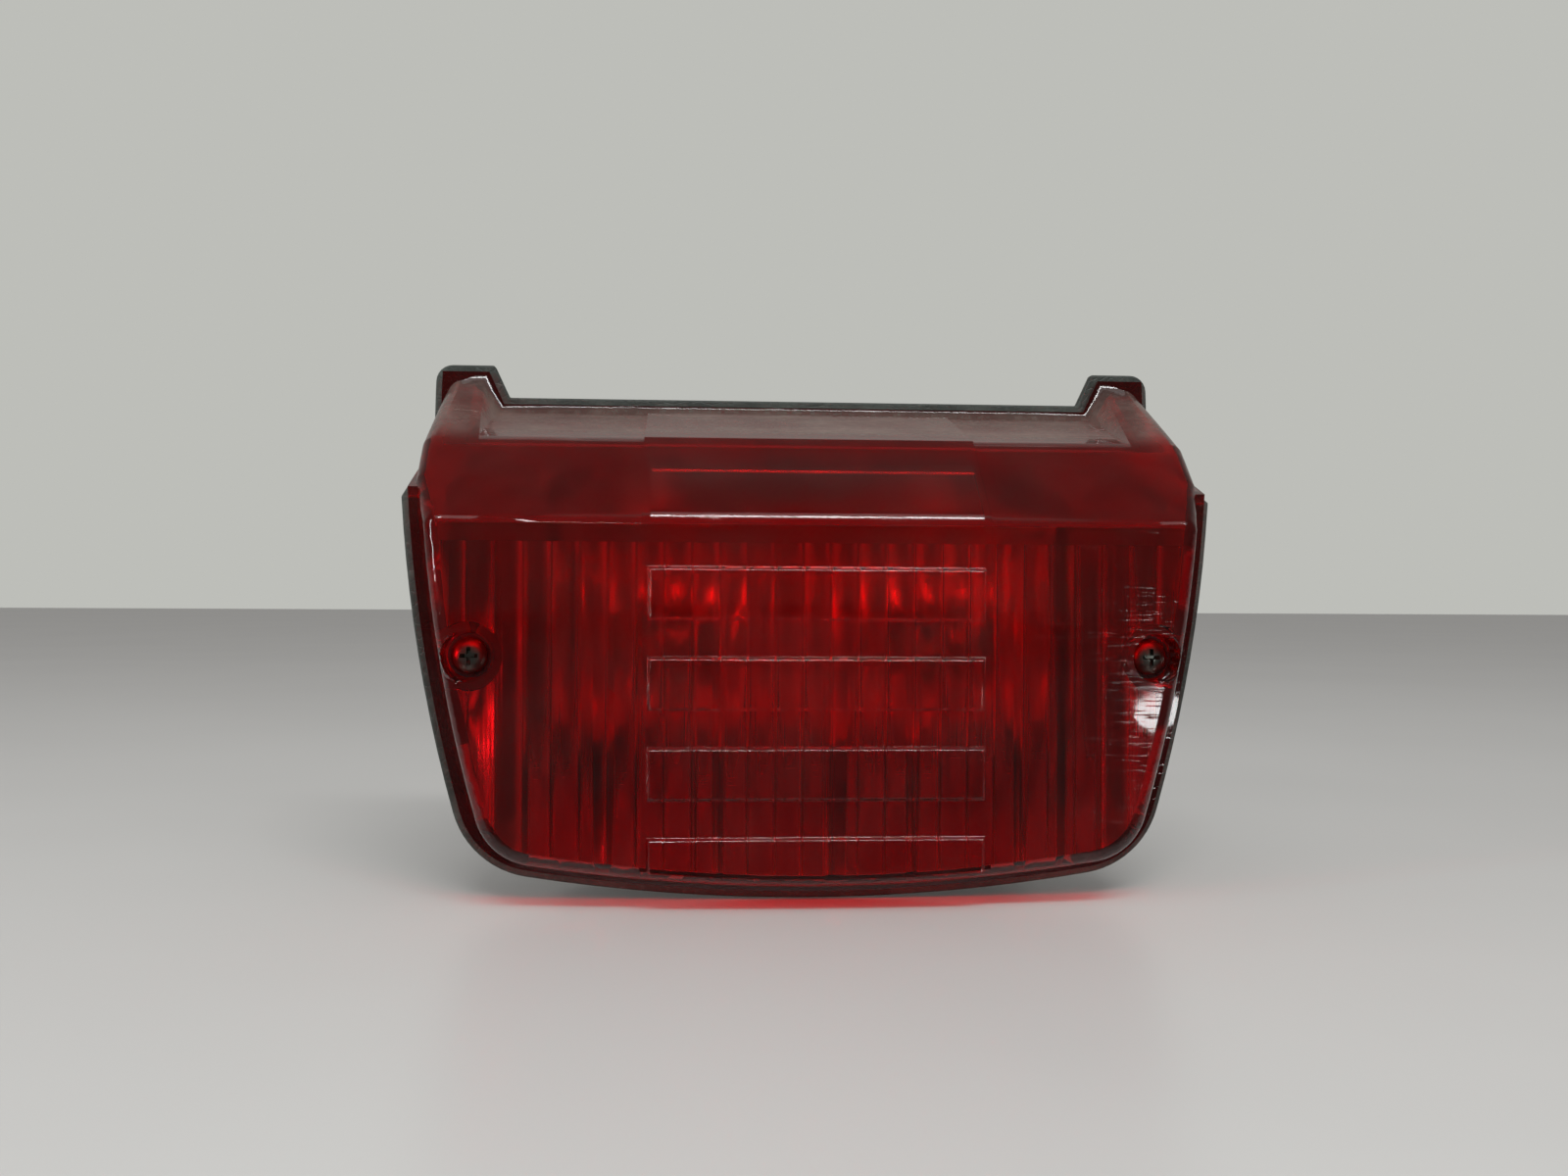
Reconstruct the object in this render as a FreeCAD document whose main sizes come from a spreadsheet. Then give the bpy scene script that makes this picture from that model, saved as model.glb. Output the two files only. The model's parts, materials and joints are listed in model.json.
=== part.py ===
import FreeCAD, Part
import math
import os
import re
import Sketcher
from FreeCAD import Placement, Rotation, Vector

# Motorcycle tail light: moulded red lens, rubber gasket, housing, reflector, two
# bayonet bulbs in sprung sockets, and a steel bracket on rubber dampers.
# +X is the lamp's left-to-right width, +Z is up, and the lens looks along -Y.
# The origin is the centre of the bracket's four holes, on its mounting face (y = 0).

SIZES = {
    # the whole lamp
    "lamp_depth": 88.0,         # mounting face to the lens's front face
    "half_width": 91.8,         # gasket, at its widest
    "bottom_drop": 59.7,        # origin down to the gasket's lowest point
    "ear_rise": 66.0,           # origin up to the gasket's ear tips
    "side_radius": 330.0,       # bow of the two sides
    "waist_rise": 48.6,         # height at which the sides are widest
    "bottom_radius": 397.0,     # bow of the bottom edge
    "corner_radius": 20.0,      # lower corners of the gasket
    # side profile, as depths behind the front face and heights over the origin
    "crease_rise": 24.8,
    "bevel_run": 22.0,
    "bevel_rise": 19.2,
    "ridge_rise": 63.0,         # ear tips of the lens
    "roof_rise": 54.5,          # rear edge of the roof between the ears
    "split_low_depth": 14.1,    # front face to the lower joint line
    "split_run": 47.0,          # how far back the joint line runs under the roof
    "split_low_rise": 30.0,
    "split_high_rise": 46.0,
    # steps from outline to outline
    "lens_step": 2.0,           # gasket beyond the lens flange
    "flange_step": 1.4,         # lens flange beyond the lens wall
    "wall_lean": 3.6,           # lens wall's lean from the joint line to the front
    "chin_lean": 1.8,           # the same along the bottom
    "edge_round": 3.6,          # lens, all round the face and up the ridges
    "crease_round": 3.0,
    "roof_round": 6.0,
    "housing_step": 1.2,        # gasket beyond the housing flange
    "gasket_band": 10.0,
    # thicknesses
    "lens_wall": 2.5,
    "lens_flange": 2.6,
    "gasket_thick": 3.0,
    "housing_flange": 3.0,
    "housing_wall": 2.5,
    "rear_wall": 3.0,
    # roof channel between the ears
    "ear_width": 16.3,          # widest line in to the channel's foot
    "channel_lean": 7.0,
    "channel_height": 15.0,
    # raised band and panels down the middle of the lens
    "band_half": 38.0,
    "band_proud": 0.4,
    "panel_half": 36.0,
    "panel_draft": 1.4,
    "panel_proud": 1.8,
    "panel_height": 13.4,
    "panel_pitch": 19.35,
    "panel_top_rise": 15.4,
    "panel_count": 4,
    "panel_round": 0.8,         # front edges of the raised panels
    "crease_panel_low": 1.4,    # how far that panel reaches below the crease
    "crease_panel_share": 0.52, # how far up the bevel it reaches
    # light flutes inside the lens
    "flute_pitch": 6.0,
    "flute_radius": 4.2,
    "flute_depth": 1.2,
    "flute_count": 27,
    # lens screws
    "screw_inset": 16.8,        # widest line in to the screws
    "screw_drop": 5.0,
    "well_gap": 0.7,            # seal washer to the well's wall
    "well_depth": 8.0,
    "well_wall": 2.0,
    "well_floor": 2.5,
    "pillar_radius": 5.0,
    "screw_hole_gap": 0.25,
    "screw_shank_radius": 1.95,
    "screw_head_radius": 4.0,
    "screw_head_height": 2.7,
    "screw_length": 20.0,
    "seal_thick": 0.8,
    "seal_margin": 0.8,         # seal washer beyond the screw's head
    "recess_width": 1.0,
    "recess_span": 4.6,
    "recess_depth": 1.7,
    "insert_radius": 3.0,
    "insert_length": 9.0,
    "boss_wall": 2.6,
    "lobe_radius": 8.0,
    # housing bowl
    "bowl_half": 62.0,
    "bowl_low": 47.0,
    "bowl_high": 42.0,
    "bowl_corner": 8.0,
    "housing_rear": 20.0,       # mounting face to the housing's rear face
    # plate light window in the bowl's floor
    "window_span": 70.0,
    "window_width": 24.0,
    "window_back": 30.0,        # mounting face to its rear edge
    "window_lip": 3.0,
    "window_thick": 2.0,
    # reflector
    "reflector_half": 57.0,
    "reflector_low": 28.0,
    "reflector_high": 25.0,
    "reflector_back": 54.2,
    "reflector_depth": 12.0,
    "reflector_sheet": 0.8,
    "divider_reach": 19.0,
    "bulb_hole_gap": 0.9,       # bulb's globe to the reflector's hole
    "reflector_post_x": 50.0,
    "reflector_post_low": 24.0,
    "reflector_post_high": 18.0,
    "post_radius": 3.6,
    # small screws for the reflector and the socket bracket
    "small_shank_radius": 1.45,
    "small_head_radius": 2.9,
    "small_head_height": 1.8,
    "small_screw_length": 8.0,
    "screw_end_gap": 0.5,       # screw tip to the end of its pilot hole
    "small_recess_width": 0.8,
    "small_recess_span": 3.2,
    "small_recess_depth": 1.1,
    # sockets and bulbs, about axes along Y
    "bulb_x": 31.0,
    "bulb_drop": 8.0,
    "shell_wall": 1.1,
    "shell_front": 53.0,
    "shell_rear": 23.8,
    "insulator_thick": 2.2,
    "terminal_radius": 1.2,
    "terminal_spread": 4.0,
    "terminal_length": 2.8,
    "strap_front": 45.0,
    "strap_sheet": 1.2,
    "strap_half": 56.5,
    "strap_height": 24.0,
    "strap_post_x": 50.5,
    "contact_plane": 34.0,      # mounting face to the bulb's contact face
    "cap_radius": 7.5,
    "cap_gap": 0.2,             # bulb cap to the socket's bore
    "cap_length": 17.0,
    "cap_wall": 0.5,
    "cap_base": 2.0,
    "contact_radius": 1.5,
    "contact_proud": 0.8,
    "contact_spread": 3.5,
    "pin_radius": 1.0,
    "pin_reach": 8.5,
    "pin_low": 7.0,             # contact face to the nearer bayonet pin
    "pin_high": 10.0,
    "globe_radius": 12.5,
    "neck_radius": 6.6,
    "glass_wall": 0.7,
    "bulb_length": 47.0,
    "stem_radius": 2.6,
    "stem_length": 14.0,
    "filament_radius": 0.5,
    "filament_half": 2.6,
    "support_radius": 0.35,
    "support_length": 9.0,
    "support_inset": 0.8,       # coil end in to its support
    "filament_rise": 1.6,       # bulb axis to each coil
    "filament_stagger": 2.5,    # how far the lower coil lies behind the upper
    "carrier_gap": 0.5,         # sliding carrier to the socket's bore
    "carrier_thick": 2.5,
    "pip_radius": 1.6,
    "pip_proud": 0.6,
    "spring_radius": 4.6,
    "spring_wire": 0.5,         # radius of the wire
    "spring_turns": 3.0,
    "push_travel": 1.5,
    "twist_angle": 20.0,
    "slot_margin": 11.0,        # degrees of slot past the pin at each end
    "slot_half": 1.4,
    # studs, dampers and bracket
    "stud_x": 36.0,
    "stud_high": 28.0,
    "stud_low": 34.0,
    "stud_radius": 2.95,
    "stud_end": 1.0,            # mounting face to the stud's tip
    "stud_head_radius": 6.0,
    "stud_head": 2.6,
    "stud_chamfer": 0.6,
    "collar_gap": 0.15,         # stud to its collar
    "collar_wall": 1.4,
    "damper_radius": 9.0,
    "damper_length": 10.0,
    "damper_neck": 6.5,
    "washer_radius": 9.0,
    "washer_thick": 1.2,
    "lock_radius": 5.6,
    "lock_thick": 1.5,
    "lock_split": 1.2,
    "nut_half_flats": 5.0,
    "nut_height": 5.0,
    "bracket_sheet": 3.0,
    "web_half": 56.0,
    "web_low": 46.0,
    "web_high": 40.0,
    "web_margin": 4.0,          # dampers to the edge of the web
    "foot_length": 26.0,
    "foot_half": 20.0,
    "hole_x": 71.0,
    "hole_z": 12.0,
    "hole_radius": 3.3,
    # wire grommet in the rear wall
    "grommet_rise": 10.0,
    "grommet_radius": 6.0,
    "grommet_flange": 8.5,
    "grommet_lip": 1.8,
    "grommet_bore": 2.6,
    "wire_room": 3.0,           # grommet to the edge of the bracket's wire window
    # clearances
    "seat_gap": 0.05,           # between pieces that sit in one another
    "screw_gap": 0.1,
    "spring_gap": 0.1,
    "damper_gap": 0.05,
}

doc = FreeCAD.newDocument("tail_light")
sizes = doc.addObject("Spreadsheet::Sheet", "Sizes")
for row, (alias, value) in enumerate(SIZES.items(), start=1):
    sizes.set(f"A{row}", alias)
    sizes.set(f"B{row}", str(value))
    sizes.setAlias(f"B{row}", alias)
doc.recompute()

AXIS_Y = Rotation(Vector(1, 0, 0), -90)
PLANES = {
    "XY": Rotation(),
    "XZ": Rotation(Vector(1, 0, 0), 90),
    "YZ": Rotation(Vector(1, 1, 1), 120),
}
X_DIR, Y_DIR, Z_DIR = Vector(1, 0, 0), Vector(0, 1, 0), Vector(0, 0, 1)
SIDES = (("left", -1), ("right", 1))
PAST = "10"                     # how far a tool reaches past what it cuts or trims
names = {}
nodes = []


# ---------------------------------------------------------------- helpers
def bound(text):
    """Point every size named in an expression at the spreadsheet."""
    return re.sub(r"[a-z][a-z_]*", lambda word: "Sizes." + word[0] if word[0] in SIZES
                  else word[0], str(text))


def value_of(text):
    """Work out an expression from the spreadsheet's present values."""
    result = sizes.evalExpression(bound(text))
    return float(getattr(result, "Value", result))


def add(kind, name):
    """Make a document object whose name is not taken yet."""
    names[name] = names.get(name, 0) + 1
    return doc.addObject(kind, name if names[name] == 1 else f"{name}_{names[name]}")


def bind(item, **expressions):
    """Tie properties to expressions; px, py and pz are the placement's position."""
    for key, text in expressions.items():
        place = {"px": "Placement.Base.x", "py": "Placement.Base.y", "pz": "Placement.Base.z"}
        item.setExpression(place.get(key, key), bound(text))
    return item


def box(name, low, span):
    """A block from its low corner and its three spans, all expressions."""
    block = add("Part::Box", name)
    return bind(block, px=low[0], py=low[1], pz=low[2],
                Length=span[0], Width=span[1], Height=span[2])


def rod(name, radius, start, length, x=0, z=0):
    """A cylinder along +Y from the plane y = start."""
    cylinder = add("Part::Cylinder", name)
    cylinder.Placement = Placement(Vector(), AXIS_Y)
    return bind(cylinder, px=x, py=start, pz=z, Radius=radius, Height=length)


def post(name, radius, low, length, x=0, y=0):
    """A cylinder along +Z from the plane z = low."""
    return bind(add("Part::Cylinder", name), px=x, py=y, pz=low, Radius=radius, Height=length)


def join(name, *parts):
    """Fuse several shapes into one."""
    fused = add("Part::MultiFuse", name)
    fused.Shapes = list(parts)
    return fused


def keep(name, *parts):
    """Keep what several shapes share."""
    shared = add("Part::MultiCommon", name)
    shared.Shapes = list(parts)
    return shared


def take(name, base, *tools):
    """Cut one or more tools from a base."""
    result = add("Part::Cut", name)
    result.Base = base
    result.Tool = tools[0] if len(tools) == 1 else join(name + "_tools", *tools)
    return result


def group(name, parts):
    """Hold alike solids together without fusing them."""
    held = add("Part::Compound", name)
    held.Links = list(parts)
    return held


def pin_vertices(sketch, points):
    """Close a polyline and tie each of its corners to two expressions."""
    corners = [Vector(value_of(u), value_of(v), 0) for u, v in points]
    count = len(corners)
    for index in range(count):
        sketch.addGeometry(Part.LineSegment(corners[index], corners[(index + 1) % count]), False)
    for index in range(count):
        sketch.addConstraint(Sketcher.Constraint("Coincident", index, 2, (index + 1) % count, 1))
    for index, (u, v) in enumerate(points):
        for kind, text, place in (("DistanceX", u, corners[index].x),
                                  ("DistanceY", v, corners[index].y)):
            number = sketch.addConstraint(Sketcher.Constraint(kind, -1, 1, index, 1, place))
            sketch.setExpression(f"Constraints[{number}]", bound(text))


def polygon(name, plane, points, offset=None):
    """A closed sketch; offset moves it along Y for XZ and along Z for XY."""
    sketch = add("Sketcher::SketchObject", name)
    sketch.Placement = Placement(Vector(), PLANES[plane])
    if offset is not None:
        bind(sketch, **{"py" if plane == "XZ" else "pz": offset})
    pin_vertices(sketch, points)
    return sketch


def extrude(name, sketch, direction, length, symmetric=False):
    """Pull a sketch along a direction into a solid."""
    solid = add("Part::Extrusion", name)
    solid.Base = sketch
    solid.DirMode = "Custom"
    solid.Dir = direction
    solid.Solid = True
    solid.Symmetric = symmetric
    return bind(solid, LengthFwd=length)


def turned(name, points, x=0, z=0):
    """A body turned about an axis along Y: points are (radius, y) expressions."""
    body = add("PartDesign::Body", name)
    sketch = body.newObject("Sketcher::SketchObject", name + "_profile")
    plane = [part for part in body.Origin.OriginFeatures if part.Role == "XY_Plane"][0]
    sketch.AttachmentSupport = [(plane, "")]
    sketch.MapMode = "FlatFace"
    pin_vertices(sketch, points)
    revolution = body.newObject("PartDesign::Revolution", name + "_turn")
    revolution.Profile = sketch
    revolution.ReferenceAxis = (sketch, ["V_Axis"])
    revolution.Angle = 360
    return bind(body, px=x, pz=z)


def node(name, item):
    """Name a finished sub-part."""
    item.Label = name
    nodes.append(item)
    return item


# ---------------------------------------------------------------- shared places
FRONT = "-lamp_depth"
SPLIT_LOW = "(split_low_depth - lamp_depth)"
SPLIT_TOP = "(split_low_depth + split_run - lamp_depth)"
SPLIT_LEAN = "(split_run / (sqrt(split_run^2 + (split_high_rise - split_low_rise)^2)" \
             " + split_high_rise - split_low_rise))"
BEVEL_LEAN = "(bevel_run / (sqrt(bevel_run^2 + bevel_rise^2) + bevel_rise))"
BEVEL_TOP = "(crease_rise + bevel_rise)"
ROOF_RUN = "(split_low_depth + split_run - bevel_run)"
HOUSING_REAR = "-housing_rear"
CHANNEL_HALF = "(half_width - ear_width)"
SCREW_X = "(half_width - screw_inset)"
SCREW_HOLE = "(screw_shank_radius + screw_hole_gap)"
SEAL_RADIUS = "(screw_head_radius + seal_margin)"
WELL_RADIUS = f"({SEAL_RADIUS} + well_gap)"
SHELL_BORE = "(cap_radius + cap_gap)"
COLLAR_BORE = "(stud_radius + collar_gap)"
HOUSING_FLOOR = "(-housing_rear - rear_wall)"


def outline(name, inset, y, top, base_inset=None):
    """Front-view outline of the lamp, drawn in from the gasket's edge by inset.

    Two bowed sides and a bowed bottom meet in round corners. The bottom may be
    drawn in by an amount of its own.
    """
    base_inset = base_inset or inset
    side_radius = value_of("side_radius")
    bottom_radius = value_of("bottom_radius")
    corner_radius = value_of("corner_radius")
    shrink, base_shrink = value_of(inset), value_of(base_inset)
    height = value_of(top)
    side = Vector(value_of("half_width - side_radius"), value_of("waist_rise"), 0)
    base = Vector(0, value_of("bottom_radius - bottom_drop"), 0)
    corner = corner_centre(side, side_radius - corner_radius,
                           base, bottom_radius - corner_radius + shrink - base_shrink)
    to_base = math.atan2(corner.y - base.y, corner.x - base.x) % (2 * math.pi)
    to_side = math.atan2(corner.y - side.y, corner.x - side.x)
    to_top = math.asin((height - side.y) / (side_radius - shrink))
    turn = 2 * math.pi
    arcs = (
        (base, bottom_radius - base_shrink, 3 * math.pi - to_base, to_base),
        (corner, corner_radius - shrink, to_base, to_side + turn),
        (side, side_radius - shrink, to_side, to_top),
        (Vector(-side.x, side.y, 0), side_radius - shrink, math.pi - to_top,
         math.pi - to_side),
        (Vector(-corner.x, corner.y, 0), corner_radius - shrink, math.pi - to_side,
         3 * math.pi - to_base),
    )
    sketch = add("Sketcher::SketchObject", name)
    sketch.Placement = Placement(Vector(), PLANES["XZ"])
    bind(sketch, py=y)
    half_top = side.x + (side_radius - shrink) * math.cos(to_top)
    for centre, radius, start, end in arcs:
        circle = Part.Circle(centre, Z_DIR, radius)
        sketch.addGeometry(Part.ArcOfCircle(circle, start, end), False)
    sketch.addGeometry(Part.LineSegment(Vector(half_top, height, 0),
                                        Vector(-half_top, height, 0)), False)
    bottom_arc, right_corner, right_side, left_side, left_corner, top_line = range(6)
    for first, second in ((bottom_arc, right_corner), (right_corner, right_side),
                          (left_side, left_corner), (left_corner, bottom_arc)):
        sketch.addConstraint(Sketcher.Constraint("Tangent", first, 2, second, 1))
    sketch.addConstraint(Sketcher.Constraint("Coincident", right_side, 2, top_line, 1))
    sketch.addConstraint(Sketcher.Constraint("Coincident", top_line, 2, left_side, 1))
    sketch.addConstraint(Sketcher.Constraint("Horizontal", top_line))
    side_x = "half_width - side_radius"
    ties = (
        ("DistanceX", (-1, 1, bottom_arc, 3), "0"),
        ("DistanceY", (-1, 1, bottom_arc, 3), "bottom_radius - bottom_drop"),
        ("DistanceX", (-1, 1, right_side, 3), side_x),
        ("DistanceY", (-1, 1, right_side, 3), "waist_rise"),
        ("DistanceX", (-1, 1, left_side, 3), f"-({side_x})"),
        ("DistanceY", (-1, 1, left_side, 3), "waist_rise"),
        ("Radius", (bottom_arc,), f"bottom_radius - ({base_inset})"),
        ("Radius", (right_side,), f"side_radius - ({inset})"),
        ("Radius", (left_side,), f"side_radius - ({inset})"),
        ("Radius", (right_corner,), f"corner_radius - ({inset})"),
        ("Radius", (left_corner,), f"corner_radius - ({inset})"),
        ("DistanceY", (-1, 1, top_line, 1), top),
    )
    for kind, where, text in ties:
        number = sketch.addConstraint(Sketcher.Constraint(kind, *where, value_of(text)))
        if text != "0":
            sketch.setExpression(f"Constraints[{number}]", bound(text))
    return sketch


def corner_centre(side, side_reach, base, base_reach):
    """Centre of the right lower corner: it lies both reaches from the two centres."""
    line = base - side
    gap = line.Length
    along = (side_reach ** 2 - base_reach ** 2 + gap ** 2) / (2 * gap)
    across = math.sqrt(side_reach ** 2 - along ** 2)
    unit = line / gap
    foot = side + unit * along
    options = (foot + Vector(unit.y, -unit.x, 0) * across,
               foot - Vector(unit.y, -unit.x, 0) * across)
    return min(options, key=lambda point: point.y - point.x)


def split_band(name, near, far):
    """The bent sheet that follows the joint line, from near to far behind it."""
    def edge(shift):
        """One face of the sheet as three corners, from the bottom up."""
        drop = f"({shift}) * {SPLIT_LEAN}"
        return ((f"{SPLIT_LOW} + {shift}", f"split_low_rise - {drop}"),
                (f"{SPLIT_TOP} + {shift}", f"split_high_rise - {drop}"))
    low, high = f"-bottom_drop - 2 * {PAST}", f"ear_rise + 2 * {PAST}"
    front, back = edge(near), edge(far)
    points = [(front[0][0], low), front[0], front[1], (front[1][0], high),
              (back[1][0], high), back[1], back[0], (back[0][0], low)]
    return extrude(name, polygon(name + "_profile", "YZ", points), X_DIR,
                   f"2 * half_width + 4 * {PAST}", symmetric=True)


def channel(name, half, floor, start, direction, length):
    """Trapezoid tool that clears the roof between the ears."""
    top = f"{floor} + channel_height"
    wide = f"({half}) + channel_lean"
    points = [(f"-({half})", floor), (half, floor), (wide, top), (f"-({wide})", top)]
    return extrude(name, polygon(name + "_profile", "XZ", points, start), direction, length)


def straight_channel(name, half, floor):
    """Channel tool that runs straight back, for the flat rims behind the roof."""
    return channel(name, half, floor, f"{SPLIT_TOP} - 2 * gasket_thick - 2", Y_DIR,
                   "6 * gasket_thick")


# ---------------------------------------------------------------- lens
def lens_block(name, inset, front, back):
    """Drafted front, straight behind the lower joint line, trimmed to nothing else."""
    face = outline(name + "_front", f"lens_step + flange_step + wall_lean + {inset}", front,
                   "ear_rise", f"lens_step + flange_step + chin_lean + {inset}")
    rim = outline(name + "_rim", f"lens_step + flange_step + {inset}", SPLIT_LOW, "ear_rise")
    lean = add("Part::Loft", name + "_lean")
    lean.Sections = [face, rim]
    lean.Solid = True
    lean.Ruled = True
    straight = extrude(name + "_straight", rim, Y_DIR, back)
    return join(name, lean, straight)


ridge_slope = f"((ridge_rise - {BEVEL_TOP}) / {ROOF_RUN})"
roof_direction = Vector(0, value_of(ROOF_RUN), value_of(f"roof_rise - {BEVEL_TOP}"))

lens_profile = polygon("lens_profile", "YZ", [
    (FRONT, f"-bottom_drop - {PAST}"),
    (FRONT, "crease_rise"),
    (f"{FRONT} + bevel_run", BEVEL_TOP),
    (SPLIT_TOP, "ridge_rise"),
    (SPLIT_TOP, "split_high_rise"),
    (SPLIT_LOW, "split_low_rise"),
    (SPLIT_LOW, f"-bottom_drop - {PAST}"),
])
lens_slab = extrude("lens_slab", lens_profile, X_DIR, f"2 * half_width + 2 * {PAST}", symmetric=True)
lens_outer = keep("lens_outer", lens_block("lens_block", "0", FRONT, "split_run + 2"),
                  lens_slab)
roof_cut = channel("roof_cut", CHANNEL_HALF, BEVEL_TOP, f"{FRONT} + bevel_run",
                   roof_direction, "2 * split_run")
sharp_skin = take("sharp_skin", lens_outer, roof_cut)


def top_height(y):
    """Height of the lens's top line at the depth y: bevel first, then ridge."""
    front, bevel_end, rear = (value_of(text) for text in (FRONT, f"{FRONT} + bevel_run", SPLIT_TOP))
    crease, bevel_top, ridge = (value_of(text) for text in ("crease_rise", BEVEL_TOP, "ridge_rise"))
    if y <= bevel_end:
        return crease + (bevel_top - crease) * (y - front) / (bevel_end - front)
    return bevel_top + (ridge - bevel_top) * (y - bevel_end) / (rear - bevel_end)


def rounded_skin(name, base):
    """Round the rim of the face and the ridges, the crease and the roof's front edge."""
    doc.recompute()
    front = value_of(FRONT)
    rounds = []
    for number, edge in enumerate(base.Shape.Edges, start=1):
        ends = [vertex.Point for vertex in edge.Vertexes]
        straight = isinstance(edge.Curve, Part.Line)
        on_face = all(abs(end.y - front) < 0.01 for end in ends)
        on_top = all(abs(end.z - top_height(end.y)) < 0.01 for end in ends)
        middle = sum((end.x for end in ends)) / len(ends)
        if on_face and straight:
            radius = value_of("crease_round")
        elif on_face or (on_top and not straight):
            radius = value_of("edge_round")
        elif on_top and abs(middle) < 1 and ends[0].y < value_of(SPLIT_TOP) - 1:
            radius = value_of("roof_round")
        else:
            continue
        rounds.append((number, radius, radius))
    skin = add("Part::Fillet", name)
    skin.Base = base
    skin.Edges = rounds
    return skin


lens_skin = rounded_skin("lens_skin", sharp_skin)

# Vertical and sideways room that leaves a full wall under the sloping faces.
inner_drop = "(1.25 * lens_wall)"
channel_wall = "(1.1 * lens_wall)"
hollow_profile = polygon("hollow_profile", "YZ", [
    (f"{FRONT} + lens_wall", f"-bottom_drop - {PAST}"),
    (f"{FRONT} + lens_wall", f"crease_rise - lens_wall * {BEVEL_LEAN}"),
    (f"{FRONT} + bevel_run", f"{BEVEL_TOP} - {inner_drop}"),
    (f"{SPLIT_TOP} + {PAST}", f"ridge_rise - {inner_drop} + {PAST} * {ridge_slope}"),
    (f"{SPLIT_TOP} + {PAST}", f"-bottom_drop - {PAST}"),
])
hollow_slab = extrude("hollow_slab", hollow_profile, X_DIR, f"2 * half_width + 2 * {PAST}",
                      symmetric=True)
hollow_block = lens_block("hollow_block", "lens_wall", f"{FRONT} + lens_wall",
                          f"split_run + {PAST}")
hollow_roof = channel("hollow_roof", f"{CHANNEL_HALF} + {channel_wall}",
                      f"{BEVEL_TOP} - {channel_wall}", f"{FRONT} + bevel_run",
                      roof_direction, "3 * split_run")
hollow = take("hollow", keep("hollow_solid", hollow_block, hollow_slab), hollow_roof)

flute_low = "-bottom_drop"
flutes = []
for index in range(int(value_of("flute_count"))):
    flutes.append(post(f"flute_{index}", "flute_radius", flute_low,
                       "bottom_drop + crease_rise - 2 * lens_wall",
                       x=f"({index} - (flute_count - 1) / 2) * flute_pitch",
                       y=f"{FRONT} + lens_wall + flute_depth - flute_radius"))

well_tubes = []
well_bores = []
for side, sign in SIDES:
    x = f"{sign} * {SCREW_X}"
    well_tubes.append(rod(f"well_tube_{side}", f"{WELL_RADIUS} + well_wall", FRONT,
                          "well_depth + well_floor", x, "-screw_drop"))
    well_tubes.append(rod(f"well_pillar_{side}", "pillar_radius", FRONT, "split_low_depth",
                          x, "-screw_drop"))
    well_bores.append(rod(f"well_bore_{side}", WELL_RADIUS, f"{FRONT} - 2",
                          "well_depth + 2", x, "-screw_drop"))
    well_bores.append(rod(f"well_hole_{side}", SCREW_HOLE, f"{FRONT} - 2",
                          f"split_low_depth + {PAST}", x, "-screw_drop"))
carved_hollow = take("carved_hollow", hollow, *flutes, *well_tubes)

flange_block = extrude("flange_block", outline("flange_outline", "lens_step", f"{FRONT}",
                                               "ear_rise - lens_step"),
                       Y_DIR, "lamp_depth")
lens_rim = take("lens_rim", keep("lens_rim_solid", flange_block,
                                 split_band("lens_rim_band", "-lens_flange", "0")),
                straight_channel("lens_rim_channel", f"{CHANNEL_HALF} - flange_step",
                                 "roof_rise + flange_step"))


def softened(name, base, radius, wanted):
    """Round the straight edges whose two ends both pass a test of the end's point."""
    doc.recompute()
    skin = add("Part::Fillet", name)
    skin.Base = base
    skin.Edges = [(number, value_of(radius), value_of(radius))
                  for number, edge in enumerate(base.Shape.Edges, start=1)
                  if all(wanted(vertex.Point) for vertex in edge.Vertexes)]
    return skin


def face_strip(name, half, proud, low, share):
    """Strip that lies on the face and the bevel, proud of both, share of the bevel high."""
    rise = f"(crease_rise + {share} * bevel_rise)"
    reach = f"({FRONT} + {share} * bevel_run)"
    length = "sqrt(bevel_run^2 + bevel_rise^2)"
    out_y = f"({proud}) * bevel_rise / {length}"
    out_z = f"({proud}) * bevel_run / {length}"
    points = [
        (f"{FRONT} + lens_wall / 2", low),
        (f"{FRONT} - ({proud})", low),
        (f"{FRONT} - ({proud})", f"crease_rise + ({proud}) * {BEVEL_LEAN}"),
        (f"{reach} - {out_y}", f"{rise} + {out_z}"),
        (f"{reach} + lens_wall / 2", f"{rise} - lens_wall / 2"),
        (f"{FRONT} + lens_wall / 2", "crease_rise - lens_wall / 2"),
    ]
    strip = extrude(name + "_sharp", polygon(name + "_profile", "YZ", points), X_DIR,
                    f"2 * ({half})", symmetric=True)
    front = value_of(f"{FRONT} - ({proud})")
    crease = value_of(f"crease_rise + ({proud}) * {BEVEL_LEAN}")
    return softened(name, strip, f"crease_round + ({proud})",
                    lambda point: abs(point.y - front) < 0.01 and abs(point.z - crease) < 0.01)


def roof_strip(name, half, proud):
    """Strip that carries the band from the bevel's top back over the roof."""
    points = [
        (f"{FRONT} + bevel_run - ({proud})", BEVEL_TOP),
        (f"{FRONT} + bevel_run", f"{BEVEL_TOP} + ({proud})"),
        (f"{SPLIT_TOP} - lens_flange", f"roof_rise + ({proud}) - lens_flange * 0.2"),
        (f"{SPLIT_TOP} - lens_flange", "roof_rise - lens_wall / 2"),
        (f"{FRONT} + bevel_run", f"{BEVEL_TOP} - lens_wall / 2"),
    ]
    return extrude(name, polygon(name + "_profile", "YZ", points), X_DIR, f"2 * ({half})",
                   symmetric=True)


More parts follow.
